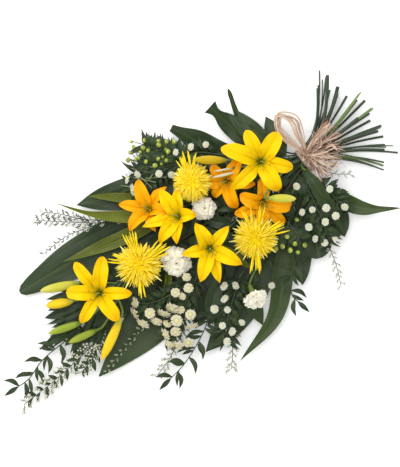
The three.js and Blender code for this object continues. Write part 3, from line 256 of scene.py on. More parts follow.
# Berry sprays: branches, berries and the small leaves from foot to tip.
BERRY_SPRAYS = [
    ([[(160, -126, 26), (176, -152, 32), (190, -176, 32), (210, -210, 26)],
      [(160, -126, 26), (196, -152, 32), (226, -178, 30), (246, -203, 26)]],
     [(174, -186, 36), (189, -190, 38), (203, -213, 28), (226, -217, 28), (249, -205, 28), (226, -182, 38),
      (196, -160, 42), (206, -172, 38), (164, -176, 36), (210, -195, 36), (237, -197, 32), (214, -204, 34),
      (184, -170, 40), (218, -166, 40)],
     [((176, -152, 32), (152, -176, 26)), ((190, -176, 32), (178, -204, 26)),
      ((226, -178, 30), (256, -186, 26)), ((196, -152, 32), (230, -158, 28))]),
    ([[(100, 66, 50), (116, 82, 54), (130, 104, 54)], [(100, 66, 50), (102, 92, 54), (112, 116, 52)]],
     [(116, 103, 62), (130, 106, 62), (119, 84, 68), (140, 78, 66), (136, 92, 64), (104, 116, 58),
      (86, 72, 64), (122, 118, 58), (148, 88, 60)],
     [((116, 82, 54), (146, 100, 46)), ((102, 92, 54), (84, 112, 44)), ((112, 116, 52), (124, 140, 42))]),
]

BERRY_PROFILE = [(0, 0.3), (0.2, 0.86), (0.5, 1), (0.8, 0.8), (1, 0.12)]
CUP_PROFILE = [(0, 0.3), (0.5, 0.8), (1, 1)]
SEED_PROFILE = [(0, 0.3), (0.4, 1), (0.75, 0.8), (1, 0.15)]

# Low leafy twigs under the first berries, and pale stalks across them.
BUSH_LINES = [
    [(196, -152, 26), (232, -150, 22), (258, -156, 20), (276, -168, 19)],
    [(196, -152, 26), (224, -162, 22), (244, -172, 20), (256, -180, 19)],
]
PALE_STALKS = [
    ((224, -150, 30), (254, -190, 28)), ((236, -142, 30), (270, -186, 26)),
    ((214, -136, 32), (246, -160, 30)),
    ((206, -150, 33), (232, -176, 31)), ((248, -138, 28), (252, -176, 30)),
    ((262, -150, 26), (288, -178, 22)),
    ((220, -160, 33), (256, -150, 27)),
]

# Ruscus twigs: line, pairs of leaves and the length of the first pair.
RUSCUS_TWIGS = [
    ([(450, -20, 22), (530, -27, 15), (600, -28, 14), (640, -18, 13), (668, -20, 12)], 7, 38),
    ([(290, 88, 24), (350, 122, 24), (410, 142, 20), (446, 146, 16)], 5, 38),
    ([(128, 124, 32), (160, 146, 32), (179, 172, 30), (178, 188, 27)], 2, 36),
]
GRASS_TWIGS = [
    [[(300, -128, 18), (352, -146, 17), (402, -188, 16), (446, -229, 14)],
     [(300, -128, 18), (370, -154, 17), (425, -172, 15), (474, -174, 12)],
     [(340, -140, 17), (380, -176, 15), (404, -208, 14), (428, -234, 14)]],
    [[(480, 6, 22), (550, 12, 20), (610, 14, 18), (676, 12, 14)],
     [(480, 6, 22), (516, 24, 24), (556, 34, 22)]],
    [[(286, 124, 28), (306, 152, 26), (326, 180, 24), (348, 203, 20)]],
    [[(350, 80, 18), (392, 104, 14), (424, 118, 12), (458, 126, 10)],
     [(352, 78, 17), (412, 44, 9), (470, 50, 11), (524, 62, 17)]],
    [[(54, 108, 36), (70, 142, 30), (82, 178, 26), (100, 215, 20)],
     [(-4, 22, 32), (-18, 50, 30), (-42, 72, 24)]],
]
# How far the sprigs of each grass twig reach.
GRASS_REACH = [(0.9, 0.6, 0.8), (1.4, 1.3), (1.0,), (1.0, 0.55), (0.8, 0.7)]
# How far apart the sprigs of each grass spray stand.
SPRIG_STEPS = (5.4, 8.5, 6.5, 6.5, 6.5)
FOLDED_LEAF = (24, [(19, 38, 50), (26, 84, 46), (30, 116, 42), (34, 142, 36)])

# The raffia's knot on top of the binding, and how far its strands stray from it.
KNOT = np.array([-4.0, -8.0, 39.0])
KNOT_SPREAD = (7.5, 6.5, 3.2)

# The photograph's view: its frame over the sheaf, the turn of the image and the size of one pixel.
VIEW_CENTRE = (234.5, -20.5, 30)
VIEW_TURN = math.radians(40)
PIXEL = 1.8
PHOTO_HEIGHT = 467


# Numbers and lines.


def mix(a, b, share):
    return a + (b - a) * share


def scatter(seed):
    """A steady scatter: the same share from 0 to 1 each time for a whole number."""
    wide = np.sin(np.asarray(seed) * 12.9898 + 4.1414) * 43758.5453
    return wide - np.floor(wide)


def unit(vectors):
    return vectors / np.maximum(np.linalg.norm(vectors, axis=-1, keepdims=True), 1e-9)


def read_profile(pairs, shares):
    """Smooth values between (share, value) pairs."""
    x, y = np.array(pairs, float).T
    slope = np.gradient(y, x)
    i = np.clip(np.searchsorted(x, shares) - 1, 0, len(x) - 2)
    span = x[i + 1] - x[i]
    t = (shares - x[i]) / span
    rise = (1 + 2 * t) * (1 - t) ** 2 * y[i] + t * t * (3 - 2 * t) * y[i + 1]
    return np.maximum(rise + span * t * (1 - t) * ((1 - t) * slope[i] - t * slope[i + 1]), 0.005)


def bezier(points, shares):
    """Places along the Bezier curve over its control points."""
    t = np.asarray(shares, float)[:, None]
    layer = [np.broadcast_to(np.asarray(point, float), (len(t), 3)) for point in points]
    while len(layer) > 1:
        layer = [a + (b - a) * t for a, b in zip(layer, layer[1:])]
    return layer[0]


def smooth_line(points, spans=14):
    """A centripetal Catmull-Rom line through points, as many places on it."""
    p = np.asarray(points, float)
    p = np.vstack([2 * p[0] - p[1], p, 2 * p[-1] - p[-2]])
    t = np.linspace(0, 1, spans, endpoint=False)[:, None]
    places = []
    for a, b, c, d in zip(p, p[1:], p[2:], p[3:]):
        da, db, dc = (max(np.linalg.norm(step) ** 0.5, 1e-4) for step in (b - a, c - b, d - c))
        leave = ((b - a) / da - (c - a) / (da + db) + (c - b) / db) * db
        arrive = ((c - b) / db - (d - b) / (db + dc) + (d - c) / dc) * db
        square = 3 * (c - b) - 2 * leave - arrive
        places.append(b + leave * t + square * t**2 + (2 * (b - c) + leave + arrive) * t**3)
    return np.vstack(places + [p[-2:-1]])


def on_line(line, shares):
    """Places at shares of the way along a line."""
    steps = np.linalg.norm(np.diff(line, axis=0), axis=1)
    reach = np.concatenate([[0], np.cumsum(steps)])
    far = np.asarray(shares, float) * reach[-1]
    return np.stack([np.interp(far, reach, line[:, axis]) for axis in range(3)], axis=-1)


def heading(line, share):
    """The direction of a line at a share of the way along it."""
    return unit(on_line(line, min(share + 0.01, 1)) - on_line(line, max(share - 0.01, 0)))


def turned(ahead, angle, rise=0.0):
    """A direction turned level from another, and raised."""
    cos, sin = math.cos(angle), math.sin(angle)
    level = unit(np.array([ahead[0] * cos - ahead[1] * sin, ahead[0] * sin + ahead[1] * cos, 0]))
    return unit(level + (0, 0, rise))


def facing_turn(facing):
    """The turn that brings +Z to a facing."""
    return np.array(Vector((0, 0, 1)).rotation_difference(Vector([float(v) for v in facing])).to_matrix())


# Growing meshes.


class Growth:
    """Corners and faces of one piece. Each corner keeps its place: along, across, and a shade of its own."""

    def __init__(self):
        self.corners, self.places, self.quads, self.fans = [], [], [], []
        self.count = 0

    def add(self, corners, places, quads, fans=()):
        self.corners.append(corners)
        self.places.append(places)
        self.quads.append(np.asarray(quads, int).reshape(-1, 4) + self.count)
        self.fans.append(np.asarray(fans, int).reshape(-1, 3) + self.count)
        self.count += len(corners)

    def gathered(self):
        return [np.vstack(parts) for parts in (self.corners, self.places, self.quads, self.fans)]

    def put(self, other, turn, foot, shade=0.0, scale=1.0):
        """Adds a copy of another growth, turned, set on a foot and with its shade raised."""
        corners, places, quads, fans = other
        self.add(scale * corners @ turn.T + foot, places + (0, 0, shade), quads, fans)

    def mesh(self, name):
        corners, places, quads, fans = self.gathered()
        mesh = bpy.data.meshes.new(name)
        mesh.vertices.add(len(corners))
        mesh.vertices.foreach_set("co", (corners * MM).ravel())
        loops = np.concatenate([quads.ravel(), fans.ravel()])
        mesh.loops.add(len(loops))
        mesh.loops.foreach_set("vertex_index", loops)
        starts = np.concatenate([4 * np.arange(len(quads)), 4 * len(quads) + 3 * np.arange(len(fans))])
        mesh.polygons.add(len(starts))
        mesh.polygons.foreach_set("loop_start", starts)
        mesh.update(calc_edges=True)
        mesh.polygons.foreach_set("use_smooth", np.ones(len(starts), bool))
        mesh.attributes.new("place", "FLOAT_VECTOR", "POINT").data.foreach_set("vector", places.ravel())
        mesh.set_sharp_from_angle(angle=math.radians(55))
        return mesh


def sheet(growth, grid, thickness, shade=0.0):
    """A thin blade over a grid of places, rows along it and columns across, thinner at its edges."""
    rows, columns = grid.shape[:2]
    out = unit(np.cross(np.gradient(grid, axis=0), np.gradient(grid, axis=1)))
    across = np.linspace(-1, 1, columns)
    half = 0.5 * thickness * (1 - 0.7 * across**4)[None, :, None]
    corners = np.concatenate([grid + out * half, grid - out * half]).reshape(-1, 3)
    along = np.repeat(np.linspace(0, 1, rows), columns)
    places = np.stack([along, np.tile(across, rows), np.full(rows * columns, shade)], axis=1)
    index = np.arange(rows * columns).reshape(rows, columns)
    top = np.stack([index[:-1, :-1], index[1:, :-1], index[1:, 1:], index[:-1, 1:]], axis=-1).reshape(-1, 4)
    rim = np.concatenate([index[:, 0], index[-1, 1:], index[-2::-1, -1], index[0, -2:0:-1]])
    after = np.roll(rim, -1)
    under = rows * columns
    sides = np.stack([after, rim, rim + under, after + under], axis=1)
    growth.add(corners, np.vstack([places, places + (0, 0, 1)]),
               np.vstack([top, top[:, ::-1] + under, sides]))


def wall(rows, columns):
    """Quads over closed rings of corners, and the fans to the two corners after them that close the ends."""
    index = np.arange(rows * columns).reshape(rows, columns)
    beyond = np.roll(index, -1, axis=1)
    quads = np.stack([index[:-1], beyond[:-1], beyond[1:], index[1:]], axis=-1)
    first, last = index.size, index.size + 1
    fans = [(first, b, a) for a, b in zip(index[0], beyond[0])]
    return quads, fans + [(last, a, b) for a, b in zip(index[-1], beyond[-1])]


def tube(growth, points, radii, sides=8, shade=0.0):
    """A round stem through points, closed at both ends."""
    points = np.asarray(points, float)
    radii = np.broadcast_to(radii, len(points))
    along = unit(np.gradient(points, axis=0))
    across = UP if abs(along[0] @ UP) < 0.9 else np.array([1.0, 0, 0])
    angles = 2 * np.pi * np.arange(sides) / sides
    rings = []
    for point, way, radius in zip(points, along, radii):
        across = unit(across - (across @ way) * way)
        beside = np.cross(way, across)
        rings.append(point + radius * (np.cos(angles)[:, None] * across + np.sin(angles)[:, None] * beside))
    corners = np.vstack(rings + [points[[0, -1]]])
    shares = np.append(np.repeat(np.linspace(0, 1, len(points)), sides), [0, 1])
    turn = np.append(np.tile(np.cos(angles), len(points)), [0, 0])
    places = np.stack([shares, turn, np.full(len(corners), shade)], axis=1)
    growth.add(corners, places, *wall(len(points), sides))


def blade(growth, line, width, outline, channel, rows, columns=11, wave=0.0, thickness=0.6, shade=0.0,
          furrow=0.0, swell=0.0, twist=0.0):
    """A leaf or petal along a line: its edges stand above its middle by the channel, and wave.

    The furrow sinks its midrib, the swell raises soft humps between its ribs, and the twist turns its tip.
    """
    shares = np.linspace(0, 1, rows)
    middle = on_line(line, shares)
    along = unit(np.gradient(middle, axis=0))
    beside = unit(np.cross(UP, along))
    out = np.cross(along, beside)
    turn = (twist * shares**1.3)[:, None]
    beside, out = beside * np.cos(turn) + out * np.sin(turn), out * np.cos(turn) - beside * np.sin(turn)
    across = np.linspace(-1, 1, columns)
    wide = 0.5 * width * read_profile(outline, shares)
    lift = channel * np.sin(np.pi * np.clip(shares, 0.04, 0.96))[:, None] * np.abs(across) ** 1.7
    phase = 2 * np.pi * scatter(shade * 91)
    ruffle = np.sin(7 * np.pi * shares[:, None] + phase + 1.4 * across) + 0.5 * np.sin(
        17 * shares[:, None] - 2 * phase * across
    )
    lift = lift + wave * ruffle * np.abs(across) ** 3 * (wide / wide.max())[:, None]
    lift = lift - furrow * np.exp(-((across / 0.14) ** 2)) * (wide / wide.max())[:, None]
    roll = np.sin(3 * np.pi * shares[:, None] + 2.5 * across + phase)
    roll = roll + np.sin(9 * shares[:, None] - 3 * across)
    lift = lift + swell * (1 + roll) * (1 - across**2)
    aside = beside[:, None] * (wide[:, None] * across)[..., None]
    sheet(growth, middle[:, None] + aside + out[:, None] * lift[..., None], thickness, shade)


def bead(growth, foot, tip, girth, profile, sides=12, shade=0.0, rings=11):
    """A spun body from foot to tip, such as a bud or a berry."""
    fine = np.linspace(0, 1, rings)
    foot, tip = np.asarray(foot, float), np.asarray(tip, float)
    points = foot + (tip - foot) * fine[:, None]
    tube(growth, points, 0.5 * girth * read_profile(profile, fine), sides, shade)


# The lines of stems and stalks.


def places_for(widths):
    """Places side by side for things of these widths, with room between, centred on nought."""
    edge = -(sum(widths) + CLEARANCE * (len(widths) - 1)) / 2
    places = []
    for width in widths:
        places.append(edge + width / 2)
        edge += width + CLEARANCE
    return places


def stem_doors():
    """Where each stem leaves the binding, and its rank across its layer."""
    doors = {}
    foot = STALK_ROW + LEAF_STALK / 2 + CLEARANCE
    for layer in range(4):
        stems = [(kind, number, end) for kind, number, at, end in STEMS if at == layer]
        stems.sort(key=lambda stem: math.atan2(stem[2][1], stem[2][0]))
        snug = [(1 + SEAT) / 2 * STEM_DIAMETER[kind] for kind, _, _ in stems]
        for i, ((kind, number, _), place) in enumerate(zip(stems, places_for(snug))):
            door = np.array([BINDING_LENGTH / 2, place, foot + SEAT * STEM_DIAMETER[kind] / 2])
            doors[kind, number] = (door, i / (len(stems) - 1))
        foot += max(snug) + CLEARANCE
    return doors


DOORS = stem_doors()
LEAF_PLACES = places_for([LEAF_STALK] * len(BROAD_LEAVES))


def cut_line(door, rank, seed):
    """The line on the cut side of the binding, from the cut end to the binding."""
    angle = math.radians(mix(*CUT_FAN, rank) + 3 * (scatter(seed) - 0.5))
    reach = mix(*CUT_REACH, scatter(seed + 50))
    near = door * (-1, 1, 1)
    rise = LEAF_STALK / 2 + (near[2] - STALK_ROW) * CUT_RISE + 1.5 * scatter(seed + 90)
    end = near + (-reach * math.cos(angle), reach * math.sin(angle), rise - near[2])
    return bezier([end, near - (0.3 * reach, 0, 0), near], np.linspace(0, 1, 12))


def stem_line(kind, number, facing=None):
    """The line of a stem from its cut end to its end, and the place on it a little before its end."""
    index = next(i for i, stem in enumerate(STEMS) if stem[:2] == (kind, number))
    end = np.array(STEMS[index][3], float)
    door, rank = DOORS[kind, number]
    axis = unit(np.array(facing, float)) if facing else None
    arrival = end - 6 * axis if facing else end
    reach = math.hypot(end[0], end[1])
    parts = [cut_line(door, rank, index)]
    if reach < 1.8 * LIFT_REACH:
        forward = max(mix(door[0], end[0], 0.4), door[0] + 12)
        bend = (forward, mix(door[1], end[1], 0.1), mix(door[2], end[2], 0.2))
        last = [door, bend, arrival]
        before = bezier(last, [2 / 3])[0]
    else:
        lifted = end * LIFT_REACH / reach
        lifted[2] = min(door[2] + LAYER_LIFT, end[2])
        leave = door + (20, 0, 0)
        near = mix(lifted, door, 0.35)
        near[2] = lifted[2]
        parts.append(bezier([door, leave, near, lifted], np.linspace(0, 1, 9)[:-1]))
        low = mix(end, lifted, 24 / reach)
        low[2] = lifted[2]
        if facing:
            low = arrival - 0.6 * (end[2] - lifted[2]) * axis
        level = mix(lifted, end, 0.6)
        level[2] = lifted[2]
        last = [lifted, level, low, arrival]
        before = bezier(last, [0.75])[0]
    parts.append(bezier(last, np.linspace(0, 1, 20)))
    if facing:
        parts.append((end - CLEARANCE * axis)[None])
    return np.vstack(parts), before


# Finishes.


class Finish:
    """A material as it is made: its shader and the nodes that colour it."""

    def __init__(self, name, **sockets):
        self.material = bpy.data.materials.new(name)
        self.material.use_nodes = True
        self.tree = self.material.node_tree
        self.shader = self.tree.nodes["Principled BSDF"]
        for socket, value in sockets.items():
            self.join(self.shader.inputs[socket.replace("_", " ")], value)
        place = self.node("ShaderNodeAttribute", attribute_name="place")
        self.place = place.outputs["Vector"]
        parts = self.node("ShaderNodeSeparateXYZ", {0: self.place})
        self.along, self.across, shade = parts.outputs
        self.shade = self.math("FRACT", shade)
        self.under = self.math("GREATER_THAN", shade, 0.9999)

    def join(self, socket, value):
        if isinstance(value, bpy.types.NodeSocket):
            self.tree.links.new(value, socket)
        else:
            socket.default_value = value

    def node(self, kind, inputs=None, **settings):
        node = self.tree.nodes.new(kind)
        for key, value in settings.items():
            setattr(node, key, value)
        for key, value in (inputs or {}).items():
            self.join(node.inputs[key], value)
        return node

    def math(self, operation, a, b=0.0, c=0.0):
        return self.node("ShaderNodeMath", {0: a, 1: b, 2: c}, operation=operation).outputs[0]

    def ramp(self, value, low, high, start=0.0, end=1.0):
        """Values from low to high smoothly brought to start and end."""
        inputs = {0: value, 1: low, 2: high, 3: start, 4: end}
        return self.node("ShaderNodeMapRange", inputs, interpolation_type="SMOOTHSTEP").outputs[0]

    def blend(self, factor, a, b):
        """Colour a brought to colour b."""
        sockets = {0: factor, 6: a, 7: b}
        return self.node("ShaderNodeMix", sockets, data_type="RGBA").outputs[2]

    def noise(self, scale, stretch=None, detail=3.0):
        """Noise in the object's own space, or over its petals, leaves and stems when stretched."""
        if stretch:
            sockets = {0: self.place, 1: stretch}
            vector = self.node("ShaderNodeVectorMath", sockets, operation="MULTIPLY").outputs[0]
        else:
            vector = self.node("ShaderNodeTexCoord").outputs["Object"]
        sockets = {"Vector": vector, "Scale": scale, "Detail": detail}
        return self.node("ShaderNodeTexNoise", sockets).outputs[0]

    def bump(self, height, strength, distance):
        inputs = {"Height": height, "Strength": strength, "Distance": distance}
        self.join(self.shader.inputs["Normal"], self.node("ShaderNodeBump", inputs).outputs[0])

    def colour(self, value):
        self.join(self.shader.inputs["Base Color"], value)
        return self.material


def rgb(colour):
    return (*colour, 1.0)


def leaf_finish(name, deep, fresh, rib, ribs, roughness):
    """A leaf with ribs along it, a paler midrib, and a duller underside."""
    finish = Finish(name, Roughness=roughness, Specular_IOR_Level=0.3)
    streak = finish.noise(1.0, (2.2, 12, 47))
    cloud = finish.noise(26.0)
    fine = finish.noise(1.0, (5, 60, 31))
    body = finish.blend(finish.ramp(streak, 0.3, 0.72, 0, 0.55), rgb(deep), rgb(fresh))
    body = finish.blend(finish.ramp(cloud, 0.35, 0.65, 0, 0.6), body, rgb(deep))
    body = finish.blend(finish.math("MULTIPLY", finish.shade, 0.7), body, rgb(fresh))
    near_rib = finish.math("ABSOLUTE", finish.across)
    body = finish.blend(finish.ramp(near_rib, 0.1, 0.0, 0, 0.5), body, rgb(rib))
    body = finish.blend(finish.ramp(near_rib, 0.88, 1.0, 0, 0.35), body, rgb(rib))
    body = finish.blend(finish.math("MULTIPLY", finish.under, 0.5), body, rgb(fresh))
    specks = finish.noise(310.0)
    body = finish.blend(finish.ramp(specks, 0.6, 0.72, 0, 0.3), body, rgb(rib))
    wave = finish.math("SINE", finish.math("MULTIPLY", finish.across, ribs * math.pi))
    height = finish.math("ADD", finish.math("MULTIPLY", wave, 0.16), finish.math("MULTIPLY", fine, 0.6))
    finish.bump(finish.math("ADD", height, streak), 0.4, 0.0006)
    return finish.colour(body)


def petal_finish(name, body, tip, throat, roughness=0.5):
    """A petal with fine veins along it, a throat colour at its base and down its midrib, and its own tip."""
    finish = Finish(name, Roughness=roughness, Specular_IOR_Level=0.12, Subsurface_Weight=0.08,
                    Subsurface_Radius=(0.006, 0.003, 0.0005))
    streak = finish.noise(1.0, (1.6, 11, 53))
    colour = finish.blend(finish.ramp(streak, 0.4, 0.7, 0, 0.35), rgb(body), rgb(tip))
    colour = finish.blend(finish.ramp(finish.along, 0.55, 1.0, 0, 0.75), colour, rgb(tip))
    near_rib = finish.math("ABSOLUTE", finish.across)
    rib = finish.ramp(near_rib, 0.16, 0.02)
    low = finish.ramp(finish.along, 0.62, 0.12)
    down_rib = finish.math("MULTIPLY", finish.math("MULTIPLY", rib, low), 0.6)
    colour = finish.blend(down_rib, colour, rgb(throat))
    colour = finish.blend(finish.ramp(finish.along, 0.26, 0.08, 0, 0.85), colour, rgb(throat))
    veins = finish.noise(1.0, (1.2, 26, 31))
    finish.bump(veins, 0.4, 0.0005)
    return finish.colour(colour)


def floret_finish(name, inner, outer):
    """Quill florets, from the heart's colour to the outer tips' colour."""
    finish = Finish(name, Roughness=0.55, Specular_IOR_Level=0.15, Subsurface_Weight=0.35,
                    Subsurface_Radius=(0.012, 0.008, 0.0005))
    pale = finish.math("MULTIPLY", finish.ramp(finish.along, 0.3, 0.95), finish.shade)
    colour = finish.blend(pale, rgb(inner), rgb(outer))
    grain = finish.noise(1.0, (2, 9, 71))
    deep = tuple(0.82 * value for value in inner)
    colour = finish.blend(finish.ramp(grain, 0.45, 0.75, 0, 0.6), colour, rgb(deep))
    finish.bump(grain, 0.3, 0.0003)
    return finish.colour(colour)


def ruffle_finish(name, edge, shade_and_grain_cream):
    """Soft ruffled petals, deeper in colour towards their feet as painted shade deep in the head."""
    finish = Finish(name, Roughness=0.65, Specular_IOR_Level=0.2, Subsurface_Weight=0.25, Sheen_Weight=1.0,
                    Sheen_Roughness=0.6, Subsurface_Radius=(0.03, 0.025, 0.015))
    # Painted shade: towards their feet, deep in the head, the petals turn to the deeper cream.
    colour = finish.blend(finish.ramp(finish.along, 0.45, 0.95), rgb(shade_and_grain_cream), rgb(edge))
    grain = finish.noise(1.0, (2, 34, 19))
    # The grain also flecks the deeper cream in at random.
    colour = finish.blend(finish.ramp(grain, 0.5, 0.8, 0, 0.3), colour, rgb(shade_and_grain_cream))
    finish.bump(grain, 0.5, 0.0005)
    return finish.colour(colour)


def stem_finish(name, green, fresh, brown):
    """Stems: green with long streaks, browner on some, and with small scars."""
    finish = Finish(name, Roughness=0.46, Specular_IOR_Level=0.45)
    streak = finish.noise(1.0, (5, 3, 61))
    colour = finish.blend(finish.ramp(streak, 0.35, 0.7), rgb(green), rgb(fresh))
    some = finish.ramp(finish.shade, 0.62, 0.8, 0, 0.8)
    patch = finish.ramp(finish.noise(1.0, (9, 1.2, 23)), 0.42, 0.66)
    colour = finish.blend(finish.math("MULTIPLY", some, patch), colour, rgb(brown))
    fine = finish.noise(420.0)
    height = finish.math("ADD", streak, finish.math("MULTIPLY", fine, 0.5))
    finish.bump(height, 0.5, 0.0005)
    return finish.colour(colour)


def berry_finish(name, skin, blush):
    """A glossy berry, mottled, and darker at its foot."""
    finish = Finish(name, Roughness=0.3, Specular_IOR_Level=0.5, Subsurface_Weight=0.1,
                    Subsurface_Radius=(0.004, 0.005, 0.001), Coat_Weight=0.15, Coat_Roughness=0.2)
    mottle = finish.noise(190.0)
    colour = finish.blend(finish.ramp(mottle, 0.35, 0.7), rgb(skin), rgb(blush))
    colour = finish.blend(finish.ramp(finish.along, 0.2, 0.0, 0, 0.5), colour, rgb((0.07, 0.1, 0.02)))
    finish.bump(mottle, 0.2, 0.0004)
    return finish.colour(colour)


def speckle_finish(name, pale, dark, roughness=0.75, size=300.0):
    """Seed cases, daisy hearts and cut ends: two colours in a fine grain."""
    finish = Finish(name, Roughness=roughness, Specular_IOR_Level=0.2)
    grain = finish.noise(size, detail=4.0)
    grained = finish.math("MULTIPLY", grain, 0.7)
    own = finish.math("ADD", grained, finish.math("MULTIPLY", finish.shade, 0.35))
    colour = finish.blend(finish.ramp(own, 0.35, 0.75), rgb(pale), rgb(dark))
    finish.bump(grain, 0.6, 0.0006)
    return finish.colour(colour)


def raffia_finish(name, pale, deep):
    """Dry raffia: fibres along each strand, and strands from pale to deep; deep on the knot's strands is
    painted shade.
    """
    finish = Finish(name, Roughness=0.58, Specular_IOR_Level=0.35, Sheen_Weight=0.15,
                    Subsurface_Weight=0.05, Subsurface_Radius=(0.003, 0.002, 0.001))
    fibre = finish.noise(1.0, (3, 14, 97), 4.0)
    own = finish.math("ADD", finish.math("MULTIPLY", fibre, 0.7), finish.math("MULTIPLY", finish.shade, 0.6))
    colour = finish.blend(finish.ramp(own, 0.38, 0.84), rgb(pale), rgb(deep))
    finish.bump(fibre, 0.6, 0.0004)
    return finish.colour(colour)


def floor_finish(name, colour):
    """A pale ground that shines a little of its own light."""
    finish = Finish(name, Roughness=0.85, Specular_IOR_Level=0.15, Emission_Color=(1, 1, 1, 1),
                    Emission_Strength=0.2)
    grain = finish.noise(60.0)
    finish.bump(grain, 0.05, 0.0002)
    shade = tuple(0.985 * value for value in colour)
    return finish.colour(finish.blend(grain, rgb(colour), rgb(shade)))


FINISHES = {}


def make_finishes(colours):
    """Every material of the sheaf, by the name that the pieces use."""
    FINISHES.update({
        "blade": leaf_finish("broad leaf", colours.leaf, (0.05, 0.085, 0.012), (0.08, 0.12, 0.02), 15, 0.28),
        "foliage": leaf_finish(
            "small leaf", (0.006, 0.02, 0.007), (0.035, 0.065, 0.012), (0.07, 0.1, 0.02), 7, 0.32
        ),
        "lily leaf": leaf_finish(
            "lily leaf", (0.04, 0.06, 0.006), colours.lily_leaf, (0.38, 0.38, 0.09), 7, 0.3
        ),
        "stem": stem_finish("stem", colours.stem, (0.06, 0.1, 0.035), (0.075, 0.03, 0.022)),
        "shoot": stem_finish("green shoot", (0.09, 0.16, 0.035), (0.2, 0.29, 0.06), (0.12, 0.11, 0.03)),
        "pith": speckle_finish("cut end", (0.42, 0.46, 0.26), (0.2, 0.26, 0.1), 0.6, 700.0),
        "lily": petal_finish("lily petal", colours.lily, (0.86, 0.47, 0.0), (0.36, 0.34, 0.004)),
        "deep lily": petal_finish(
            "deep lily petal", (0.88, 0.42, 0.0), (0.84, 0.3, 0.0), (0.4, 0.27, 0.003)
        ),
        "bud": petal_finish("lily bud", (0.86, 0.6, 0.02), (0.9, 0.55, 0.01), (0.42, 0.46, 0.05), 0.38),
        "ripe bud": petal_finish(
            "ripening bud", (0.6, 0.4, 0.01), (0.5, 0.36, 0.01), (0.34, 0.36, 0.04), 0.38
        ),
        "green bud": petal_finish(
            "green bud", (0.26, 0.35, 0.035), (0.42, 0.44, 0.06), (0.1, 0.17, 0.02), 0.38
        ),
        "pale bud": petal_finish(
            "pale bud", (0.54, 0.52, 0.05), (0.66, 0.6, 0.13), (0.33, 0.38, 0.05), 0.38
        ),
        "anther": speckle_finish("anther", (0.55, 0.27, 0.02), (0.3, 0.12, 0.01), 0.8, 900.0),
        "floret": floret_finish("chrysanthemum floret", colours.chrysanthemum, (0.97, 0.92, 0.44)),
        # The second colour is the deeper cream painted as shade towards the petals' feet.
        "carnation": ruffle_finish("carnation petal", colours.carnation, (1.0, 0.92, 0.64)),
        "ray": petal_finish("daisy ray", (0.66, 0.67, 0.6), (0.62, 0.62, 0.53), (0.55, 0.55, 0.36), 0.6),
        "cream ray": petal_finish(
            "cream daisy ray", (0.7, 0.65, 0.47), (0.62, 0.56, 0.38), (0.5, 0.47, 0.26), 0.6
        ),
        "heart": speckle_finish("daisy heart", (0.78, 0.74, 0.4), (0.55, 0.53, 0.2), 0.7, 900.0),
        "berry": berry_finish("berry", colours.berry, (0.5, 0.56, 0.1)),
        "seed": speckle_finish("seed case", (0.78, 0.78, 0.66), (0.4, 0.42, 0.26)),
        # The deep colour is also the painted shade on the knot's strands.
        "raffia": raffia_finish("raffia", colours.raffia, (0.3, 0.15, 0.09)),
    })


def dress(node, growths):
    """Makes the pieces that stand for a node, one for each finish."""
    for finish, growth in growths.items():
        if not growth.count:
            continue
        name = f"{node}.{finish.replace(' ', '_')}"
        piece = bpy.data.objects.new(name, growth.mesh(name))
        bpy.context.scene.collection.objects.link(piece)
        piece.data.materials.append(FINISHES[finish])
        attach(piece, "root")
        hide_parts(node)


def growths(*finishes):
    return {finish: Growth() for finish in finishes}


# Leaves and stems.


def cut_end(growth, line, radius):
    """The pale pith on a stem's cut end."""
    way = unit(line[0] - line[1])
    tube(growth, [line[0] + 0.01 * way, line[0] + 0.04 * way], 0.82 * radius, 10)


def grow_stalk(made, kind, number, shade, sides=9, taper=None, facing=None):
    """A stem with its cut end, thinner at its tip by the taper. It gives back what stem_line does."""
    line, before = stem_line(kind, number, facing)
    radius = STEM_DIAMETER[kind] / 2
    tip = 0.95 * radius if taper is None else radius - taper
    tube(made["stem"], line, np.linspace(0.95 * radius, tip, len(line)), sides, shade)
    cut_end(made["pith"], line, radius)
    return line, before


def arched(foot, tip):
    """Three places from foot to tip, the middle one 3 mm higher."""
    return [foot, mix(np.array(foot, float), np.array(tip, float), 0.5) + (0, 0, 3), tip]


def grow_broad_leaf(index, settings):
    width, blunt, points = BROAD_LEAVES[index]
    made = growths("blade", "stem", "pith")
    door = np.array([BINDING_LENGTH / 2, LEAF_PLACES[index], STALK_ROW])
    cut = cut_line(door, index / (len(BROAD_LEAVES) - 1), index + 200)
    first = np.array(points[0], float)
    forward = max(mix(door[0], first[0], 0.45), door[0] + 8)
    bend = (forward, mix(door[1], first[1], 0.15), STALK_ROW)
    line = smooth_line(points)
    under = on_line(line, np.linspace(0.03, 0.45, 8)) - (0, 0, 0.1)
    way = np.vstack([cut, bezier([door, bend, first], np.linspace(0, 1, 10)), under])
    slim = np.linspace(1, 0.2, len(under)) * 0.5
    radii = np.concatenate([np.full(len(way) - len(under), LEAF_STALK / 2), LEAF_STALK * slim])
    stout = 1 + 0.8 * math.sin(math.pi * index / (len(BROAD_LEAVES) - 1))
    radii[:len(cut)] *= np.linspace(stout, 1, len(cut))
    way[:, 2] = np.maximum(way[:, 2], radii)
    tube(made["stem"], way, radii, shade=0.6 * scatter(index))
    cut_end(made["pith"], way, radii[0])
    outline = OWN_OUTLINES.get(index, LEAF_OUTLINE[:-1] + [(1, max(blunt, 0.01))])
    line[:, 2] = np.maximum(line[:, 2], 0.5 * settings.thickness + 0.4)
    blade(made["blade"], line, width, outline, LEAF_CHANNEL, rows=60, columns=17, wave=settings.edge_wave,
          thickness=settings.thickness, shade=LEAF_FRESHNESS[index], furrow=0.5, swell=0.5)
    dress(f"broad_leaf_{index + 1}", made)


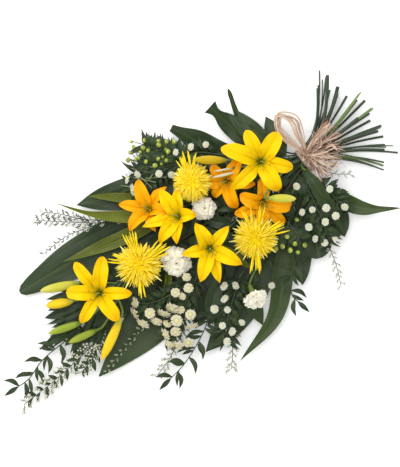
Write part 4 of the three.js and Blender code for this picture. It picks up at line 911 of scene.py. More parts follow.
def pedicel(growth, end, foot, axis):
    """The short stem of a bloom or bud, from its lily stem to the foot."""
    axis = unit(np.asarray(axis, float))
    foot = np.asarray(foot, float)
    arrival = foot - 5 * axis
    push = min(0.4 * np.linalg.norm(end - arrival), 12)
    leave = mix(end, arrival, 0.4)
    leave[2] = mix(end[2], arrival[2], 0.35)
    curve = bezier([end, leave, arrival - push * axis, arrival], np.linspace(0, 1, 12))
    points = np.vstack([curve, foot + 1.5 * axis])
    tube(growth, points, np.append(np.full(12, PEDICEL_RADIUS), 2.6), shade=0.3)


def grow_lily_stem(number):
    """A lily stem with its pedicels, long leaves, low leaves and smallest buds."""
    made = growths("stem", "shoot", "pith", "lily leaf", "green bud", "cream ray", "foliage")
    line, before = grow_stalk(made, "lily", number, 0.61 * scatter(number), 10, STEM_TAPER)
    heads = [(foot, facing) for stem, foot, facing, _, _ in LILY_BLOOMS if stem == number]
    for stem, foot, tip, *_ in LILY_BUDS + GREEN_BUDS + SLIM_BUDS:
        if stem == number:
            heads.append((foot, np.subtract(tip, foot)))
    for i, (foot, axis) in enumerate(heads):
        pedicel(made["shoot"], mix(line[-1], before, 0.25 * i), foot, axis)
    for i, (stem, foot, tip, girth) in enumerate(GREEN_BUDS):
        if stem == number:
            bead(made["green bud"], foot, tip, girth, BUD_PROFILE, sides=14, shade=0.2 + 0.3 * i)
    for stem, foot, tip, girth in SLIM_BUDS:
        if stem == number:
            bead(made["cream ray"], foot, tip, girth, BUD_PROFILE, sides=10, shade=0.1)
    for i, (stem, width, points) in enumerate(LILY_LEAVES):
        if stem == number:
            outline = LONG_TIP if i == 0 else LILY_LEAF_OUTLINE
            blade(made["lily leaf"], smooth_line(points), width, outline, channel=5, rows=44, columns=17,
                  wave=0.9,
                  shade=scatter(i + 8) * 0.9, furrow=1.6, twist=mix(-0.5, 0.5, scatter(i + 3)))
    for i, (stem, width, foot, tip) in enumerate(LOW_LEAVES):
        if stem == number:
            blade(made["foliage"], smooth_line(arched(foot, tip)), width, LILY_LEAF_OUTLINE, channel=2.4,
                  rows=26,
                  wave=0.8, thickness=0.5, shade=0.8 * scatter(i + 40), furrow=0.5, swell=0.3)
    if number < 4:
        side_leaves(made["foliage"], line, (0.5, 0.97), count=9, length=62, width=13, seed=11 * number)
    dress(f"lily_stem_{number}", made)


# Lilies.


def radial(angle, out, up):
    """A place out from the axis at an angle, and up along it."""
    return np.array([out * math.cos(angle), out * math.sin(angle), up])


def grow_lily_bloom(index, settings):
    """An open lily: three outer and three inner tepals, six stamens and a pistil."""
    _, foot, facing, deep, tepals = LILY_BLOOMS[index]
    finish = "deep lily" if deep else "lily"
    head = growths(finish, "pale bud", "anther", "shoot")
    size = sum(reach for _, reach in tepals) / len(tepals)
    angles = sorted(math.radians(degrees) for degrees, _ in tepals)
    gaps = [(a + b) / 2 for a, b in zip(angles, angles[1:] + [angles[0] + 2 * math.pi])]
    for i, (degrees, reach) in enumerate(tepals):
        angle = math.radians(degrees)
        outer = i % 2 == 0
        height = size * (0.88 if outer else 1)
        line = smooth_line([radial(angle, out * reach, up * height) for out, up in TEPAL_LINE])
        girth = size * TEPAL_GIRTH[index] * (0.84 if outer else 1.02)
        blade(head[finish], line, girth, TEPAL_OUTLINES[index], channel=3.2 if outer else 5.4, rows=30,
              columns=15,
              wave=settings.petal_wave * (0.7 if outer else 1), thickness=0.9,
              shade=0.9 * scatter(7 * index + i),
              furrow=2.2, twist=mix(-0.45, 0.45, scatter(5 * index + 3 * i + 2)))
        filament = [radial(gaps[i] + 0.2, out * size, up * size) for out, up in FILAMENT]
        tube(head["pale bud"], smooth_line(filament), np.linspace(0.8, 0.45, 29), sides=6, shade=0.1)
        tip = filament[-1]
        side = radial(gaps[i] + 0.2 + math.pi * mix(0.2, 0.8, scatter(i + index)), 3.4, 0.4)
        bead(head["anther"], tip - side, tip + side, 1.7, ANTHER_PROFILE, sides=7, shade=0.5 * scatter(i))
    style = np.array([(0, 0, 0.06 * size), (0, 0, 0.3 * size), (0.6, 0.4, 0.7 * size)])
    tube(head["pale bud"], smooth_line(style), np.linspace(1.5, 0.9, 29), shade=0.2)
    stigma = (0.6, 0.4, 0.695 * size), (0.6, 0.4, 0.74 * size)
    bead(head["shoot"], *stigma, 4.4, STIGMA_PROFILE, sides=9, shade=0.1)
    ovary = [(0, 0, 0), (0, 0, 0.04 * size), (0, 0, 0.1 * size)]
    tube(head["shoot"], ovary, [2.6, 3.4, 2.0], sides=9, shade=0.2)
    place_head(f"lily_bloom_{index + 1}", head, foot, facing)


def place_head(node, head, foot, facing):
    """Turns a head's growths to their facing, sets them on their foot and dresses the node with them."""
    made = growths(*head)
    turn = facing_turn(facing)
    for finish, growth in head.items():
        if growth.count:
            made[finish].put(growth.gathered(), turn, np.array(foot, float))
    dress(node, made)


def grow_lily_bud(index):
    """A closed bud: six tepals folded together, with a ridge down each."""
    _, foot, tip, girth, green = LILY_BUDS[index]
    finish = BUD_FINISHES[index]
    head = growths(finish)
    length = math.dist(foot, tip)
    shares = np.linspace(0, 1, 26)
    radius = 0.5 * girth * read_profile(BUD_PROFILE, shares)
    angles = np.linspace(0, 2 * np.pi, 37)
    ridge = 1 - 0.13 * np.abs(np.sin(1.5 * angles)) ** 0.5 - 0.03 * np.cos(6 * angles)
    rings = radius[:, None] * (1 - 0.9 * (1 - ridge) * np.sin(np.pi * shares[:, None]) ** 0.5)
    grid = np.stack([
        rings * np.cos(angles + 0.5 * shares[:, None]),
        rings * np.sin(angles + 0.5 * shares[:, None]),
        np.broadcast_to(length * shares[:, None], rings.shape),
    ], axis=-1)
    spun(head[finish], grid, green)
    place_head(f"lily_bud_{index + 1}", head, foot, np.subtract(tip, foot))


def spun(growth, grid, shade):
    """A closed body over rings of places, the last of each ring being its first again."""
    rows, columns = grid.shape[0], grid.shape[1] - 1
    corners = np.vstack([grid[:, :-1].reshape(-1, 3), grid[0, :-1].mean(axis=0), grid[-1, :-1].mean(axis=0)])
    across = np.abs(np.linspace(-1, 1, columns, endpoint=False) * 6 % 2 - 1)
    places = np.stack([
        np.append(np.repeat(np.linspace(0, 1, rows), columns), [0, 1]),
        np.append(np.tile(across, rows), [0, 0]),
        np.full(len(corners), 0.9 * shade),
    ], axis=1)
    growth.add(corners, places, *wall(rows, columns))


# Chrysanthemums and carnations.


def quill(growth, centre, azimuth, lift, length, start, girth, shade, curl):
    """One tubular floret: slim, a little wider before its tip, and curled."""
    far = np.linspace(start, length, 5)
    bend = lift + curl * np.sin(np.pi * np.linspace(0, 0.85, 5))
    points = centre + np.stack([
        far * math.cos(azimuth) * np.cos(bend), far * math.sin(azimuth) * np.cos(bend), far * np.sin(bend),
    ], axis=1)
    tube(growth, points, girth * np.array([0.75, 0.8, 0.9, 1.15, 0.35]), 4, shade)


def grow_chrysanthemum_stem(number):
    """A stem with lobed leaves."""
    made = growths("stem", "pith", "foliage")
    facing = CHRYSANTHEMUM_HEADS[number - 1][0]
    line, _ = grow_stalk(made, "chrysanthemum", number, 0.9 * scatter(number + 2), 10, STEM_TAPER, facing)
    side_leaves(made["foliage"], line, (0.45, 0.93), count=10, length=56, width=30, seed=23 * number,
                outline=LOBED)
    dress(f"chrysanthemum_stem_{number}", made)


def grow_chrysanthemum_head(number, settings):
    """A head of long florets, tufts of longer ones, and a heart of short ones round a core."""
    facing, reach, florets, heart = CHRYSANTHEMUM_HEADS[number - 1]
    head = growths("floret", "shoot")
    centre = np.array([0, 0, 0.18 * reach])
    for i in range(florets):
        share = i / florets
        lift = math.radians(mix(-4, 84, share**1.15))
        length = reach * mix(0.94, 0.5, share) * mix(0.78, 1.06, scatter(i + 31 * number))
        quill(head["floret"], centre, i * GOLDEN_ANGLE, lift, length, start=0.06 * reach,
              girth=mix(1.5, 1.0, share), shade=mix(0.98, 0.0, share**0.6), curl=0.15)
    for degrees, far in CHRYSANTHEMUM_TUFTS[number - 1]:
        for i in range(5):
            azimuth = math.radians(degrees + mix(-11, 11, scatter(i + degrees)))
            length = far * mix(0.84, 1.06, scatter(3 * i + degrees))
            quill(head["floret"], centre, azimuth, mix(0.05, 0.5, scatter(i + far)), length,
                  start=0.3 * reach,
                  girth=mix(1.0, 1.3, scatter(i)), shade=1.0, curl=0.12)
    for i in range(settings.heart_florets):
        share = (i + 0.5) / settings.heart_florets
        own, other = scatter(i + 77 * number), scatter(i + 5)
        lift = math.asin(mix(-0.25, 0.998, share)) + 0.1 * (other - 0.5)
        length = heart * mix(1.04, 0.6, share) * mix(0.86, 1.06, own)
        quill(head["floret"], centre, i * GOLDEN_ANGLE + 0.2 * own, lift, length, start=0.3 * heart,
              girth=mix(0.8, 1.2, other) * mix(1, 0.85, share), shade=0.25 * (1 - share) * own,
              curl=mix(0.0, 0.6, other))
    core = [radial(angle, 0.5 * heart * math.sin(turn), 0.18 * reach + 0.46 * heart * math.cos(turn))
            for turn in np.linspace(2.0, 0.02, 9) for angle in np.linspace(0, 2 * np.pi, 25)]
    spun(head["floret"], np.array(core).reshape(9, 25, 3), 0.1)
    cup = [(0, 0.3), (0.5, 0.9), (1, 0.6)]
    bead(head["shoot"], (0, 0, 0), (0, 0, 0.2 * reach), 0.42 * reach, cup, sides=14, shade=0.1)
    place_head(f"chrysanthemum_head_{number}", head, STEMS[3 + number][3], facing)


def ruffled_petal(growth, azimuth, inner, reach, rng, shade):
    """A fan-shaped petal that rises and lies over, pleated towards its toothed rim.

    Inner runs from 0 for the outermost petal to 1.
    """
    rows, columns = 9, 25
    shares = np.linspace(0, 1, rows)[:, None]
    across = np.linspace(-1, 1, columns)
    lean = mix(1.2, 0.12, inner**0.8) + rng.normal(0, 0.06)
    size = mix(0.82, 1.04, rng.random())
    rise = max(lean - 0.3, 0.02)
    rim = max(lean + mix(0.3, -0.06, inner**4), 0.06)
    foot = (0.05, 0.02)
    middle = (0.8 * math.sin(rise), 1.1 * math.cos(rise))
    tip = (size * math.sin(rim), size * math.cos(rim))
    teeth = 1 - 0.07 * (np.arange(columns) % 2) - 0.1 * rng.random(columns)
    far = shares * (1 - 0.12 * np.abs(across) ** 2.5) * np.where(shares > 0.95, teeth, 1)
    out, up = (2 * far * (1 - far) * middle[k] + (1 - far) ** 2 * foot[k] + far**2 * tip[k] for k in (0, 1))
    folds = rng.uniform(4, 7)
    phase = rng.uniform(0, 2 * np.pi)
    pleat = np.sin(folds * across + phase) + 0.6 * np.sin(2.3 * folds * across + 2 * phase)
    pleat = 0.08 * shares**1.8 * pleat
    angle = azimuth + across * shares**0.8 * min(0.62 / max(tip[0], 0.1), 1.5)
    radius = reach * (out + 0.5 * math.sin(rim) * pleat)
    height = reach * (up + mix(0.9, 0.6, math.sin(rim)) * pleat)
    height = np.maximum(height, 0.02 * reach)
    sheet(growth, np.stack([radius * np.cos(angle), radius * np.sin(angle), height], axis=-1), 0.5, shade)


def grow_carnation_stem(number):
    """A stem that widens into its calyx, with slim leaves."""
    facing = CARNATION_HEADS[number - 1][0]
    made = growths("shoot", "pith", "foliage")
    line, _ = stem_line("carnation", number, facing)
    radius = STEM_DIAMETER["carnation"] / 2
    radii = np.full(len(line), 0.95 * radius)
    radii[-4:] = radius, 3.6, 4.6, 5.0
    line[-4:-1] = line[-1] + (line[-2] - line[-1]) * np.array([[1.5], [1.1], [0.6]])
    tube(made["shoot"], line, radii, sides=10, shade=0.5 * scatter(number))
    cut_end(made["pith"], line, radius)
    side_leaves(made["foliage"], line, (0.5, 0.94), count=8, length=46, width=6, seed=31 * number)
    dress(f"carnation_stem_{number}", made)


def grow_carnation_head(number, settings):
    """Ruffled petals, from the outermost to the middle, over a green calyx."""
    facing, reach = CARNATION_HEADS[number - 1]
    head = growths("carnation", "shoot")
    petals = Growth()
    rng = np.random.default_rng(40 + number)
    for i in range(settings.carnation_petals):
        inner = i / (settings.carnation_petals - 1)
        azimuth = i * GOLDEN_ANGLE
        lobe = number == 1 and inner < 0.6 and math.cos(azimuth - LOBE_TURN) > 0.8
        far = reach * (LOBE_REACH if lobe else 1)
        ruffled_petal(petals, azimuth, inner, far, rng, 0.9 * rng.random())
    rise = CARNATION_RISE[number - 1]
    head["carnation"].put(petals.gathered(), np.eye(3), np.array([0, 0, rise], float))
    calyx = [(0, 0.85), (0.6, 1), (1, 0.8)]
    bead(head["shoot"], (0, 0, 0), (0, 0, 0.22 * reach + rise), 11, calyx, shade=0.2)
    place_head(f"carnation_head_{number}", head, STEMS[6 + number][3], facing)


# Sprays.


def branches_of(growth, lines, radius):
    """Tapering branches, and the places and directions from which twigs may leave."""
    forks = []
    for points in lines:
        line = smooth_line(points)
        tube(growth, line, np.linspace(radius, 0.9, len(line)), sides=7, shade=0.3)
        forks += [(on_line(line, share), heading(line, share)) for share in (0, 0.2, 0.4, 0.6, 0.8)]
    return forks


def twig_to(growth, head, forks, radius):
    """A twig to a head from the nearest fork that it can leave forwards."""
    head = np.asarray(head, float)

    def away(fork):
        way = head - fork[0]
        length = np.linalg.norm(way)
        return length * (1 if way @ fork[1] / length > 0.35 else 3)

    foot, ahead = min(forks, key=away)
    length = np.linalg.norm(head - foot)
    leave = foot + 0.3 * length * unit(ahead + unit(head - foot))
    points = bezier([foot, leave, head], np.linspace(0, 1, 8))
    tube(growth, points, np.linspace(radius, 0.8 * radius, 8), sides=6, shade=0.2)


def daisy_template(rays, seed):
    """A daisy head of reach 1: two rows of rays, a domed heart of tiny florets and a green cup."""
    rng = np.random.default_rng(seed)
    head = growths("ray", "heart", "shoot")
    for i in range(rays):
        angle = 2 * np.pi * i / rays + rng.normal(0, 0.05)
        low = i % 2
        reach = mix(0.9, 1.02, rng.random())
        droop = rng.normal(0.0, 0.04)
        line = smooth_line([
            radial(angle, 0.28, 0.12), radial(angle, 0.62 * reach, 0.22 - 0.06 * low + droop),
            radial(angle, reach, 0.1 - 0.1 * low + 2 * droop),
        ], 6)
        blade(head["ray"], line, 0.3, RAY_OUTLINE, channel=0.035, rows=5, columns=3, thickness=0.05,
              shade=0.9 * rng.random())
    dome = np.array([[radial(angle, 0.36 * math.sin(lift), 0.14 + 0.17 * math.cos(lift)) for angle in
                      np.linspace(0, 2 * np.pi, 17)] for lift in np.linspace(1.7, 0.1, 6)])
    spun(head["heart"], dome, 0.2)
    for i in range(26):
        share = (i + 0.5) / 26
        lift = math.acos(1 - 0.92 * share)
        foot = radial(i * GOLDEN_ANGLE, 0.35 * math.sin(lift), 0.14 + 0.17 * math.cos(lift))
        tip = foot + 0.07 * unit(foot + (0, 0, 0.1))
        tube(head["heart"], [foot, tip], [0.05, 0.025], sides=4, shade=mix(0.1, 0.8, scatter(i)))
    cup = [(0, 0, -0.1), (0, 0, 0.0), (0, 0, 0.09)]
    tube(head["shoot"], cup, [0.12, 0.34, 0.4], sides=10, shade=0.3)
    return {finish: growth.gathered() for finish, growth in head.items()}


def little_leaf(growth, foot, way, length, width, shade, droop=0.12, outline=None, bend=0.0):
    """A small leaf from a foot, lying over a little and bent aside.

    It is pointed unless an outline is given, which also gives it more rows.
    """
    foot = np.asarray(foot, float)
    way = unit(np.asarray(way, float))
    aside = bend * length * np.cross(UP, way)
    middle = foot + 0.5 * length * way + aside + (0, 0, 0.08 * length)
    line = smooth_line([foot, middle, foot + length * way - (0, 0, droop * length)], 8)
    rows, columns = (21, 5) if outline else (9, 5 if width > 9 else 3)
    blade(growth, line, width, outline or POINTED, channel=0.08 * width, rows=rows, columns=columns,
          wave=0.03 * width, thickness=0.5, shade=shade, furrow=0.3)


def side_leaves(growth, line, span, count, length, width, seed, outline=None):
    """Leaves to the left and right of a stem in turn, over a span of it."""
    for i in range(count):
        share = mix(*span, (i + 0.5) / count)
        own, other = scatter(seed + 3 * i), scatter(seed + 5 * i)
        way = turned(heading(line, share), (1 if i % 2 else -1) * mix(0.5, 1.2, own), mix(-0.1, 0.35, other))
        far, wide = length * mix(0.75, 1.2, other), width * mix(0.85, 1.15, own)
        little_leaf(growth, on_line(line, share), way, far, wide, 0.8 * other, droop=0.18, outline=outline,
                    bend=mix(-0.12, 0.12, own))


def grow_daisy_spray(number, templates):
    """A spray of daisies on twigs, with leaves along its branches. The first spray's rays are cream."""
    branches, heads = DAISY_SPRAYS[number - 1]
    made = growths("stem", "pith", "ray", "cream ray", "heart", "shoot", "foliage")
    rays = "cream ray" if number == 1 else "ray"
    largest = 8.6 if number < 3 else 7.8
    grow_stalk(made, "daisy", number, 0.5 * scatter(number + 5))
    forks = branches_of(made["stem"], branches, STEM_DIAMETER["daisy"] / 2 - 0.5)
    for i, (x, y, z, *own) in enumerate(heads):
        place = np.array([x, y, z], float)
        turn = 360 * scatter(i + 17 * (number + 1))
        lean = 0.9 * scatter(i + 23 * (number + 1)) ** 2
        reach = mix(6.4, largest, scatter(i + 5 * number))
        if own:
            turn, lean, reach = own
        facing = radial(math.radians(turn), math.sin(lean), math.cos(lean))
        template = templates[(i + number) % len(templates)]
        for finish, parts in template.items():
            finish = rays if finish == "ray" else finish
            made[finish].put(parts, facing_turn(facing), place, 0.1 * scatter(i), reach)
        twig_to(made["stem"], place - 0.5 * facing, forks, 0.8)
    for i, points in enumerate(branches):
        twig = smooth_line(points)
        side_leaves(made["foliage"], twig, (0.05, 0.95), count=12, length=26, width=10, seed=41 * number + i,
                    outline=LOBED)
        side_leaves(made["foliage"], twig - (0, 0, 6), (0.0, 1.0), count=80, length=28, width=5,
                    seed=43 * number + i)
    dress(f"daisy_spray_{number}", made)


def with_smaller(places, twins, far, seed):
    """Places with their size, and smaller ones beside each."""
    sized = [(np.array(place, float), 1.0) for place in places]
    for i, place in enumerate(places):
        for twin in range(twins):
            own = scatter(seed + 3 * i + 17 * twin)
            angle = 2 * math.pi * scatter(seed + 7 * i + 29 * twin)
            step = far * mix(0.7, 1.3, own)
            aside = (step * math.cos(angle), step * math.sin(angle), mix(-8, 0, own))
            sized.append((np.array(place, float) + aside, mix(0.55, 0.85, scatter(seed + i + twin))))
    return sized


def grow_berry_spray(number):
    """A spray of berries in their cups. The first spray has a leafy bush below it."""
    branches, berries, leaves = BERRY_SPRAYS[number - 1]
    made = growths("stem", "pith", "berry", "foliage", "shoot")
    grow_stalk(made, "berry", number, 0.7)
    forks = branches_of(made["stem"], branches, STEM_DIAMETER["berry"] / 2 - 0.4)
    bushy = number == 1
    for i, (place, size) in enumerate(with_smaller(berries, bushy, 12, 71)):
        facing = unit(np.array([0.4 * (scatter(i) - 0.5), 0.2, 1]))
        girth = size * mix(7.2, 9.4, scatter(i + 4))
        foot = place - 5.2 * size * facing
        tip = foot + 11.4 * size * facing
        bead(made["berry"], foot, tip, girth, BERRY_PROFILE, sides=14, shade=0.9 * scatter(i + 2))
        cup = foot - 0.6 * facing, foot + 2.2 * facing
        bead(made["shoot"], *cup, 0.7 * girth, CUP_PROFILE, sides=10, shade=0.1)
        twig_to(made["stem"], foot, forks, 0.9)
    for i, (foot, tip) in enumerate(leaves):
        way, length = np.subtract(tip, foot), math.dist(foot, tip)
        little_leaf(made["foliage"], foot, way, length, width=14, shade=0.9 * scatter(i), droop=0)
    for i, points in enumerate(branches):
        twig = smooth_line(points)
        if bushy:
            side_leaves(made["foliage"], twig, (0.1, 1 - 0.2 * i), count=22, length=24, width=8.5,
                        seed=53 + i)
            side_leaves(made["foliage"], twig - (0, 0, 5), (0.0, 0.95 - 0.25 * i), count=70, length=34,
                        width=5.5,
                        seed=57 + i)
        else:
            side_leaves(made["foliage"], twig, (0.1, 0.6), count=5, length=24, width=11,
                        seed=53 * number + i)
    if bushy:
        for i, points in enumerate(BUSH_LINES):
            twig = smooth_line(points)
            tube(made["stem"], twig, np.linspace(1.2, 0.8, len(twig)), sides=6, shade=0.2)
            side_leaves(made["foliage"], twig, (0.1, 1), count=40, length=30, width=6, seed=83 + i)
        for foot, tip in PALE_STALKS:
            line = smooth_line(arched(foot, tip), 6)
            tube(made["pith"], line, np.linspace(0.7, 0.4, len(line)), sides=5, shade=0.1)
    dress(f"berry_spray_{number}", made)


def grow_ruscus_spray(number):
    """A twig of narrow leaves in pairs, with one at its tip and smaller ones along it."""
    points, pairs, leaf = RUSCUS_TWIGS[number - 1]
    made = growths("stem", "pith", "foliage")
    line, _ = stem_line("ruscus", number)
    twig = smooth_line(points)
    radius = STEM_DIAMETER["ruscus"] / 2
    whole = np.vstack([line, twig[1:]])
    tube(made["stem"], whole, np.linspace(0.95 * radius, 0.8, len(whole)), shade=0.4)
    cut_end(made["pith"], line, radius)

    def leaf_at(share, turn, length, shade):
        way = turned(heading(twig, share), turn, 0.05)
        little_leaf(made["foliage"], on_line(twig, share), way, length, width=8.8, shade=shade, droop=-0.02,
                    bend=0.2 * math.sin(turn))

    for i in range(pairs):
        length = leaf * (1 - 0.25 * i / pairs)
        leaf_at((i + 0.4) / pairs, 0.7 + 0.3 * scatter(i), length, 0.9 * scatter(i + 1))
        leaf_at((i + 0.8) / pairs, -0.7 - 0.3 * scatter(i + 9), length, 0.9 * scatter(i + 2))
    leaf_at(0.98, 0, 0.8 * leaf, 0.3)
    side_leaves(made["foliage"], twig, (0.02, 0.9), count=2 * pairs, length=0.72 * leaf, width=7,
                seed=61 * number)
    dress(f"ruscus_spray_{number}", made)


def seed_template(seed):
    """A sprig of reach 1 along +Z: a thin stalk with seed cases in pairs and one at its tip."""
    rng = np.random.default_rng(seed)
    sprig = growths("seed", "stem")
    tube(sprig["stem"], [(0, 0, 0), (0.02, 0, 0.4), (0, 0.02, 0.9)], 0.028, sides=5, shade=0.3)
    for i in range(8):
        share = mix(0.22, 0.95, i / 7)
        angle = i * 2.4 + rng.normal(0, 0.3)
        lean = np.array([math.cos(angle), math.sin(angle), rng.uniform(0.5, 1.1)])
        foot = np.array([0, 0, share * 0.9])
        tip = foot + rng.uniform(0.2, 0.3) * unit(lean)
        tube(sprig["stem"], [foot, mix(foot, tip, 0.5)], 0.018, sides=4, shade=0.3)
        bead(sprig["seed"], mix(foot, tip, 0.4), mix(foot, tip, 1.15), rng.uniform(0.16, 0.26), SEED_PROFILE,
             sides=5, shade=0.9 * rng.random(), rings=5)
    return {finish: growth.gathered() for finish, growth in sprig.items()}


def grow_grass_spray(number, templates):
    """Twigs set with sprigs of seed cases. Most cases of the first spray are green like its stems."""
    made = growths("stem", "pith", "seed", "foliage")
    grow_stalk(made, "grass", number, 0.4, sides=7)
    for t, points in enumerate(GRASS_TWIGS[number - 1]):
        twig = smooth_line(points)
        tube(made["stem"], twig, np.linspace(1.0, 0.6, len(twig)), sides=6, shade=0.35)
        length = np.linalg.norm(np.diff(twig, axis=0), axis=1).sum()
        sprigs = round(length / SPRIG_STEPS[number - 1])
        for i in range(1, sprigs + 1):
            share = min(0.99, 0.06 + 0.93 * i / sprigs)
            ahead = heading(twig, share)
            side = np.cross(UP, ahead) * (1 if i % 2 else -1)
            rise = (0, 0, 0.5 * (scatter(i + 3) - 0.35))
            way = unit(side * mix(0.5, 1.1, scatter(i)) + 0.9 * ahead + rise)
            reach = mix(10, 16, scatter(i + 13 * t + number)) * GRASS_REACH[number - 1][t]
            for finish, parts in templates[i % len(templates)].items():
                finish = "stem" if number == 1 and i % 3 else finish
                made[finish].put(parts, facing_turn(way), on_line(twig, share), 0.05, reach)
        if number == 2:
            side_leaves(made["foliage"], twig - (0, 0, 2), (0.0, 0.92), count=22, length=19, width=7,
                        seed=91 + t)
    dress(f"grass_spray_{number}", made)


def grow_folded_leaf():
    """The leaf that lies folded on top of the bundle."""
    made = growths("blade", "shoot", "pith")
    line, before = stem_line("folded", 1)
    tube(made["shoot"], line, 0.95 * STEM_DIAMETER["folded"] / 2, shade=0.2)
    cut_end(made["pith"], line, 1.4)
    width, points = FOLDED_LEAF
    blade(made["blade"], smooth_line([before, *points]), width, LILY_LEAF_OUTLINE, channel=3.4, rows=30,
          columns=13, wave=0.6, shade=0.3, furrow=0.8)
    dress("folded_leaf", made)


# Raffia.


def bundle_outline(distance):
    """The outline in Y and Z round every stem in the binding, at a distance from them."""
    rounds = [(door[1], door[2], STEM_DIAMETER[kind] / 2) for (kind, _), (door, _) in DOORS.items()]
    rounds += [(place, STALK_ROW, LEAF_STALK / 2) for place in LEAF_PLACES]
    angles = np.linspace(0, 2 * np.pi, 24, endpoint=False)
    points = sorted(
        (y + (radius + distance) * math.cos(angle), z + (radius + distance) * math.sin(angle))
        for y, z, radius in rounds for angle in angles
    )

    def half(ordered):
        chain = []
        for point in ordered:
            while len(chain) > 1:
                (ay, az), (by, bz) = chain[-2:]
                if (by - ay) * (point[1] - bz) - (bz - az) * (point[0] - by) > 1e-6:
                    break
                chain.pop()
            chain.append(point)
        return chain[:-1]

    return np.array(half(points) + half(points[::-1]))


def strand(growth, points, width, shade, twist=0.5, rows=None):
    """A flat strand of raffia through points, which turns over as it goes."""
    line = smooth_line(points, 8)
    rows = rows or max(10, len(line) // 2)
    middle = on_line(line, np.linspace(0, 1, rows))
    along = unit(np.gradient(middle, axis=0))
    side = np.cross(UP, along)
    side = unit(np.where(np.linalg.norm(side, axis=1, keepdims=True) < 0.2, np.array([1.0, 0, 0]), side))
    out = np.cross(along, side)
    turn = (twist * np.linspace(0, 1, rows) + shade * 3)[:, None] * np.pi
    beside = side * np.cos(turn) + out * np.sin(turn)
    half = 0.5 * width * (1 - 0.75 * np.linspace(-1, 1, rows)[:, None] ** 8)
    across = np.array([-1, 0, 1])
    curl = 0.14 * width * np.abs(across)
    face = np.cross(along, beside)
    aside = beside[:, None] * (half * across)[..., None]
    sheet(growth, middle[:, None] + aside + face[:, None] * curl[None, :, None], 0.28, shade)


def wind_wraps(growth, wraps, rng):
    """Strands wound round the bundle, each a little askew."""
    for i in range(wraps):
        outline = bundle_outline(CLEARANCE + rng.uniform(0.7, 1.9))
        middle = mix(-BINDING_LENGTH / 2 + 1, BINDING_LENGTH / 2 - 1, i / (wraps - 1))
        skew = rng.uniform(-1.2, 1.2, 2)
        start = rng.integers(len(outline))
        ring = np.roll(outline, start, axis=0)
        ring = np.vstack([ring, ring[:3]])
        drift = np.linspace(0, 2 * np.pi, len(ring))
        x = middle + skew[0] * np.cos(drift) + skew[1] * np.sin(drift)
        points = np.column_stack([x, ring])
        points[:, 2] = np.maximum(points[:, 2], 0.35)
        wrap_strand(growth, points, rng.uniform(2.2, 3.6), rng.random() * 0.9)


def tie_knot(growth, strands, rng):
    """Short strands that turn about the knot, set deeper in tone as painted shade in the knot's creases."""
    for _ in range(strands):
        turn = rng.normal(size=(6, 3)) * KNOT_SPREAD
        turn[:, 2] += rng.uniform(-1, 1.5)
        # Painted shade: the knot's strands lean to the deep colour.
        strand(growth, KNOT + turn, rng.uniform(1.4, 3.0), 0.15 + 0.8 * rng.random(), 0.6)


def make_loop(growth, strands, rng):
    """Strands that leave the knot, go round the loop and come back."""
    x, y, z = KNOT
    for i in range(strands):
        share = (i + 0.5) / strands
        swing = 8.5 * (2 * share - 1) + rng.normal(0, 1.0)
        drop = 11 * rng.random()
        rise = 4 * rng.random()
        points = [
            (x - 2, y - 2, z),
            (x - 14 + swing, y - 38, z + 6 + rise),
            (x - 21 + swing, y - 66 + drop, z + 9 + rise),
            (x - 5 + 0.4 * swing, y - 89 + drop, z + 5 + rise),
            (x + 10 + 0.6 * swing, y - 70 + drop, z + rise),
            (x + 9 + 0.8 * swing, y - 38, z - 1 + 0.5 * rise),
            (x + 2, y - 2, z),
        ]
        # The loop's strands stay near the pale colour, against the knot's deeper painted shade.
        strand(growth, points, rng.uniform(1.2, 3.6), 0.36 * rng.random(), 1.4, 48)


def fray_tails(growth, strands, rng):
    """Loose ends that fan out of the knot, one in fourteen of them wide."""
    for i in range(strands):
        angle = math.radians(rng.uniform(78, 198))
        reach = rng.uniform(34, 78) * (1 if angle > 2 else 0.8)
        sway = rng.normal(0, 1, (2, 3)) * [[2.6, 2.6, 1], [7, 7, 2.2]]
        tip = KNOT + (reach * math.cos(angle), reach * math.sin(angle), rng.uniform(-12, 9))
        middle = mix(KNOT, tip, 0.5) + sway[0] + (0, 0, 8 * rng.random())
        late = mix(KNOT, tip, 0.82) + sway[1] + (0, 0, 4 * rng.random())
        width = rng.uniform(4, 6.5) if i % 14 == 3 else rng.uniform(0.6, 2.0)
        foot = KNOT + rng.normal(0, 3, 3) * (1, 1, 0.4)
        strand(growth, [foot, middle, late, tip], width, 0.9 * rng.random(), rng.uniform(0.2, 1.2))


def lay_ribbon(growth):
    """Three wide strands side by side over the cut stems."""
    for turn in (-6, -1, 4):
        points = [KNOT + (0, 0, 2), KNOT + (-22, -8 + 0.3 * turn, 7), KNOT + (-46, -12 + 0.7 * turn, 8),
                  KNOT + (-68, -13 + 1.2 * turn, 6)]
        strand(growth, points, 6.5, 0.02 + 0.01 * turn, 0.12)


def grow_raffia(settings):
    made = growths("raffia")
    rng = np.random.default_rng(11)
    wind_wraps(made["raffia"], settings.wraps, rng)
    tie_knot(made["raffia"], settings.knot_strands, rng)
    make_loop(made["raffia"], settings.loop_strands, rng)
    fray_tails(made["raffia"], settings.tail_strands, rng)
    lay_ribbon(made["raffia"])
    dress("raffia_tie", made)


def wrap_strand(growth, points, width, shade):
    """A strand laid flat round the bundle."""
    along = unit(np.gradient(points, axis=0))
    side = np.broadcast_to(np.array([1.0, 0, 0]), points.shape)
    out = unit(np.cross(side, along))
    across = np.array([-1, -0.4, 0.4, 1])
    arch = 0.35 * (1 - across**2)
    beside = side[:, None] * (0.5 * width * across)[None, :, None]
    sheet(growth, points[:, None] + beside + out[:, None] * arch[None, :, None], 0.35, shade)


# The stage.


